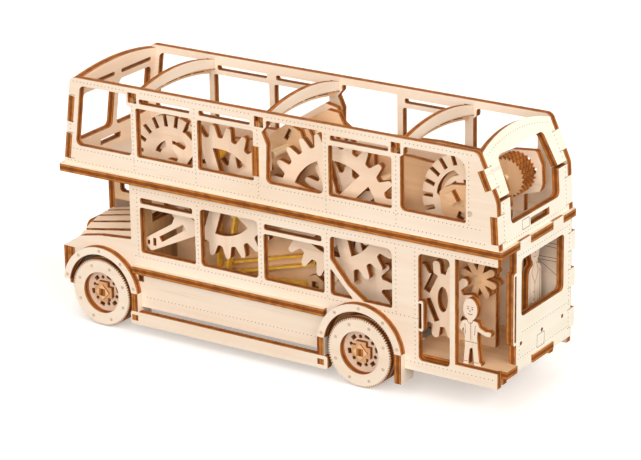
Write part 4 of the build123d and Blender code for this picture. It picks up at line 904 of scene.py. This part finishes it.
def tallMarks(bm, plane, shape, face):
    thin = engraving["thin"]
    a, foot = shape["y"], shape["foot"]
    headB = foot + face["head"]
    eyeA, eyeB, eyeR = face["eye"]
    pocketA, pocketHalf, pocketLow, pocketHigh = face["pocket"]
    for side in (-1, 1):
        spot(bm, plane, a + side * eyeA, headB + eyeB, eyeR, engraving["spotSides"])
        for key, origin in (("brow", headB), ("hair", headB), ("lapel", foot), ("sleeve", foot)):
            stroke(bm, plane, [(a + side * x, origin + b) for x, b in face[key]], thin)
        left, right = a + side * pocketA - pocketHalf, a + side * pocketA + pocketHalf
        rectangle(bm, plane, left, foot + pocketLow, right, foot + pocketHigh, thin)
    for key, origin in (("nose", headB), ("mouth", headB), ("seam", foot)):
        stroke(bm, plane, [(a + x, origin + b) for x, b in face[key]], thin)
    buttonA, heights, buttonR = face["buttons"]
    for b in heights:
        spot(bm, plane, a + buttonA, foot + b, buttonR, engraving["spotSides"])


# dark strokes along the gaps between the arch leaves: painted shade of the gap
def archGapShade(bm, settings, width):
    for station in engraving["archStations"]:
        plane = board((noseX - station, 0.0, settings["foot"]), acrossY, upZ, toTail)
        for low, high in engraving["archGapShade"]:
            count = settings["steps"]
            places = [low + (high - low) * k / count for k in range(count + 1)]
            curve = [(y, settings["crown"] - settings["drop"] * (y / innerY) ** 2) for y in places]
            stroke(bm, plane, curve, width)


bm = bmesh.new()
thin = engraving["thin"]
for name, a0, b0, a1, b1 in engraving["plates"]:
    rectangle(bm, boards[name], a0, b0, a1, b1, thin)
for name in ("near", "far"):
    for a, b in engraving["tickUpper"]:
        stroke(bm, boards[name], [(a, b), (a + engraving["tickUpperLength"], b)], thin)
for name, (starts, length, heights) in jointTicks.items():
    for a in starts:
        for b in heights:
            stroke(bm, boards[name], [(a, b), (a + length, b)], thin)
for a0, b0, a1, b1 in engraving["stairs"]:
    stroke(bm, boards["farInside"], [(a0, b0), (a1, b1)], thin)
archGapShade(bm, engraving["archLine"], engraving["gapShadeWidth"])
childMarks(bm, boards["child"], childShape, childFace)
tallMarks(bm, boards["tall"], tallShape, tallFace)
toObject("engraved_lines_and_gap_shade", finished(bm, "lines"), [lineAndGapShadeMark], "root")
print("engraving made")


studio = {
    "floorSize": 12.0,
    "floorSeen": (0.86, 0.87, 0.88, 1.0),
    "floorBounce": (0.30, 0.30, 0.30, 1.0),
    "floorLift": 0.43,
    "floorTint": (0.95, 0.85, 0.76, 1.0),
    "worldLight": 0.22,
    "worldTint": (1.0, 0.80, 0.56, 1.0),
    "suns": (((-1.0, 0.22, 0.45), 60.0, 2.25), ((-0.28, 1.0, 0.34), 45.0, 2.15),
             ((0.8, -1.0, 0.5), 90.0, 1.8)),
    "boxPlace": (0.04, 0.42, 0.62),
    "boxAim": (-0.01, 0.02, 0.05),
    "boxSize": 0.5,
    "boxPower": 1.1,
}


def cameraRay(tree):
    path = put(tree, "ShaderNodeLightPath")
    seen = calc(tree, "MAXIMUM", path.outputs["Is Camera Ray"], path.outputs["Is Glossy Ray"])
    return calc(tree, "MAXIMUM", seen, path.outputs["Is Transmission Ray"])


def makeFloor():
    bm = bmesh.new()
    bmesh.ops.create_grid(bm, x_segments=2, y_segments=2, size=studio["floorSize"] / 2)
    mesh = bpy.data.meshes.new("floor")
    bm.to_mesh(mesh)
    bm.free()
    floor = bpy.data.objects.new("floor", mesh)
    bpy.context.scene.collection.objects.link(floor)
    made, tree, shader = newMaterial("floor")
    seen = mixColor(tree, cameraRay(tree), studio["floorBounce"], studio["floorSeen"])
    tree.links.new(seen, shader.inputs["Base Color"])
    shader.inputs["Roughness"].default_value = 1.0
    shader.inputs["Specular IOR Level"].default_value = 0.0
    glow = put(tree, "ShaderNodeEmission", {"Color": studio["floorTint"]})
    lift = calc(tree, "MULTIPLY", cameraRay(tree), studio["floorLift"])
    tree.links.new(lift, glow.inputs["Strength"])
    both = put(tree, "ShaderNodeAddShader", {0: shader.outputs[0], 1: glow.outputs[0]})
    output = next(n for n in tree.nodes if n.type == "OUTPUT_MATERIAL")
    tree.links.new(both.outputs[0], output.inputs["Surface"])
    mesh.materials.append(made)


def makeWorld():
    world = bpy.data.worlds.new("studio")
    bpy.context.scene.world = world
    world.use_nodes = True
    tree = world.node_tree
    background = next(n for n in tree.nodes if n.type == "BACKGROUND")
    tint = mixColor(tree, cameraRay(tree), studio["worldTint"], (1.0, 1.0, 1.0, 1.0))
    tree.links.new(tint, background.inputs["Color"])
    strength = mapRange(tree, cameraRay(tree), 0.0, 1.0, studio["worldLight"], 1.0)
    tree.links.new(strength, background.inputs["Strength"])


def makeLamps():
    lamps = []
    for way, spread, power in studio["suns"]:
        sun = bpy.data.lights.new("sun", "SUN")
        sun.energy = power
        sun.angle = math.radians(spread)
        lamps.append((sun, Vector(way), (0, 0, 0)))
    box = bpy.data.lights.new("softbox", "AREA")
    box.energy = studio["boxPower"]
    box.size = studio["boxSize"]
    boxWay = Vector(studio["boxPlace"]) - Vector(studio["boxAim"])
    lamps.append((box, boxWay, studio["boxPlace"]))
    for light, way, place in lamps:
        holder = bpy.data.objects.new(light.name, light)
        holder.rotation_euler = way.to_track_quat("Z", "Y").to_euler()
        holder.location = place
        bpy.context.scene.collection.objects.link(holder)


view = {
    "azimuth": 213.541,
    "elevation": 20.072,
    "roll": -0.986,
    "lens": 159.91,
    "target": (-0.0315, 0.0377, 0.0797),
    "distance": 1.44273,
    "sensor": 36.0,
    "nearest": 0.05,
}


def makeCamera():
    az, el, roll = (math.radians(view[k]) for k in ("azimuth", "elevation", "roll"))
    back = Vector((math.sin(az) * math.cos(el), -math.cos(az) * math.cos(el), math.sin(el)))
    right = Vector((0, 0, 1)).cross(back).normalized()
    up = back.cross(right)
    turnedRight = right * math.cos(roll) + up * math.sin(roll)
    turnedUp = up * math.cos(roll) - right * math.sin(roll)
    data = bpy.data.cameras.new("camera")
    data.lens = view["lens"]
    data.sensor_width = view["sensor"]
    data.sensor_fit = "HORIZONTAL"
    data.clip_start = view["nearest"]
    camera = bpy.data.objects.new("camera", data)
    place = Vector(view["target"]) + back * view["distance"]
    turn = Matrix((turnedRight, turnedUp, back)).transposed().to_4x4()
    camera.matrix_world = Matrix.Translation(place) @ turn
    bpy.context.scene.collection.objects.link(camera)
    bpy.context.scene.camera = camera


makeFloor()
makeWorld()
makeLamps()
makeCamera()
bpy.context.scene.view_settings.view_transform = "Standard"
print("studio ready")
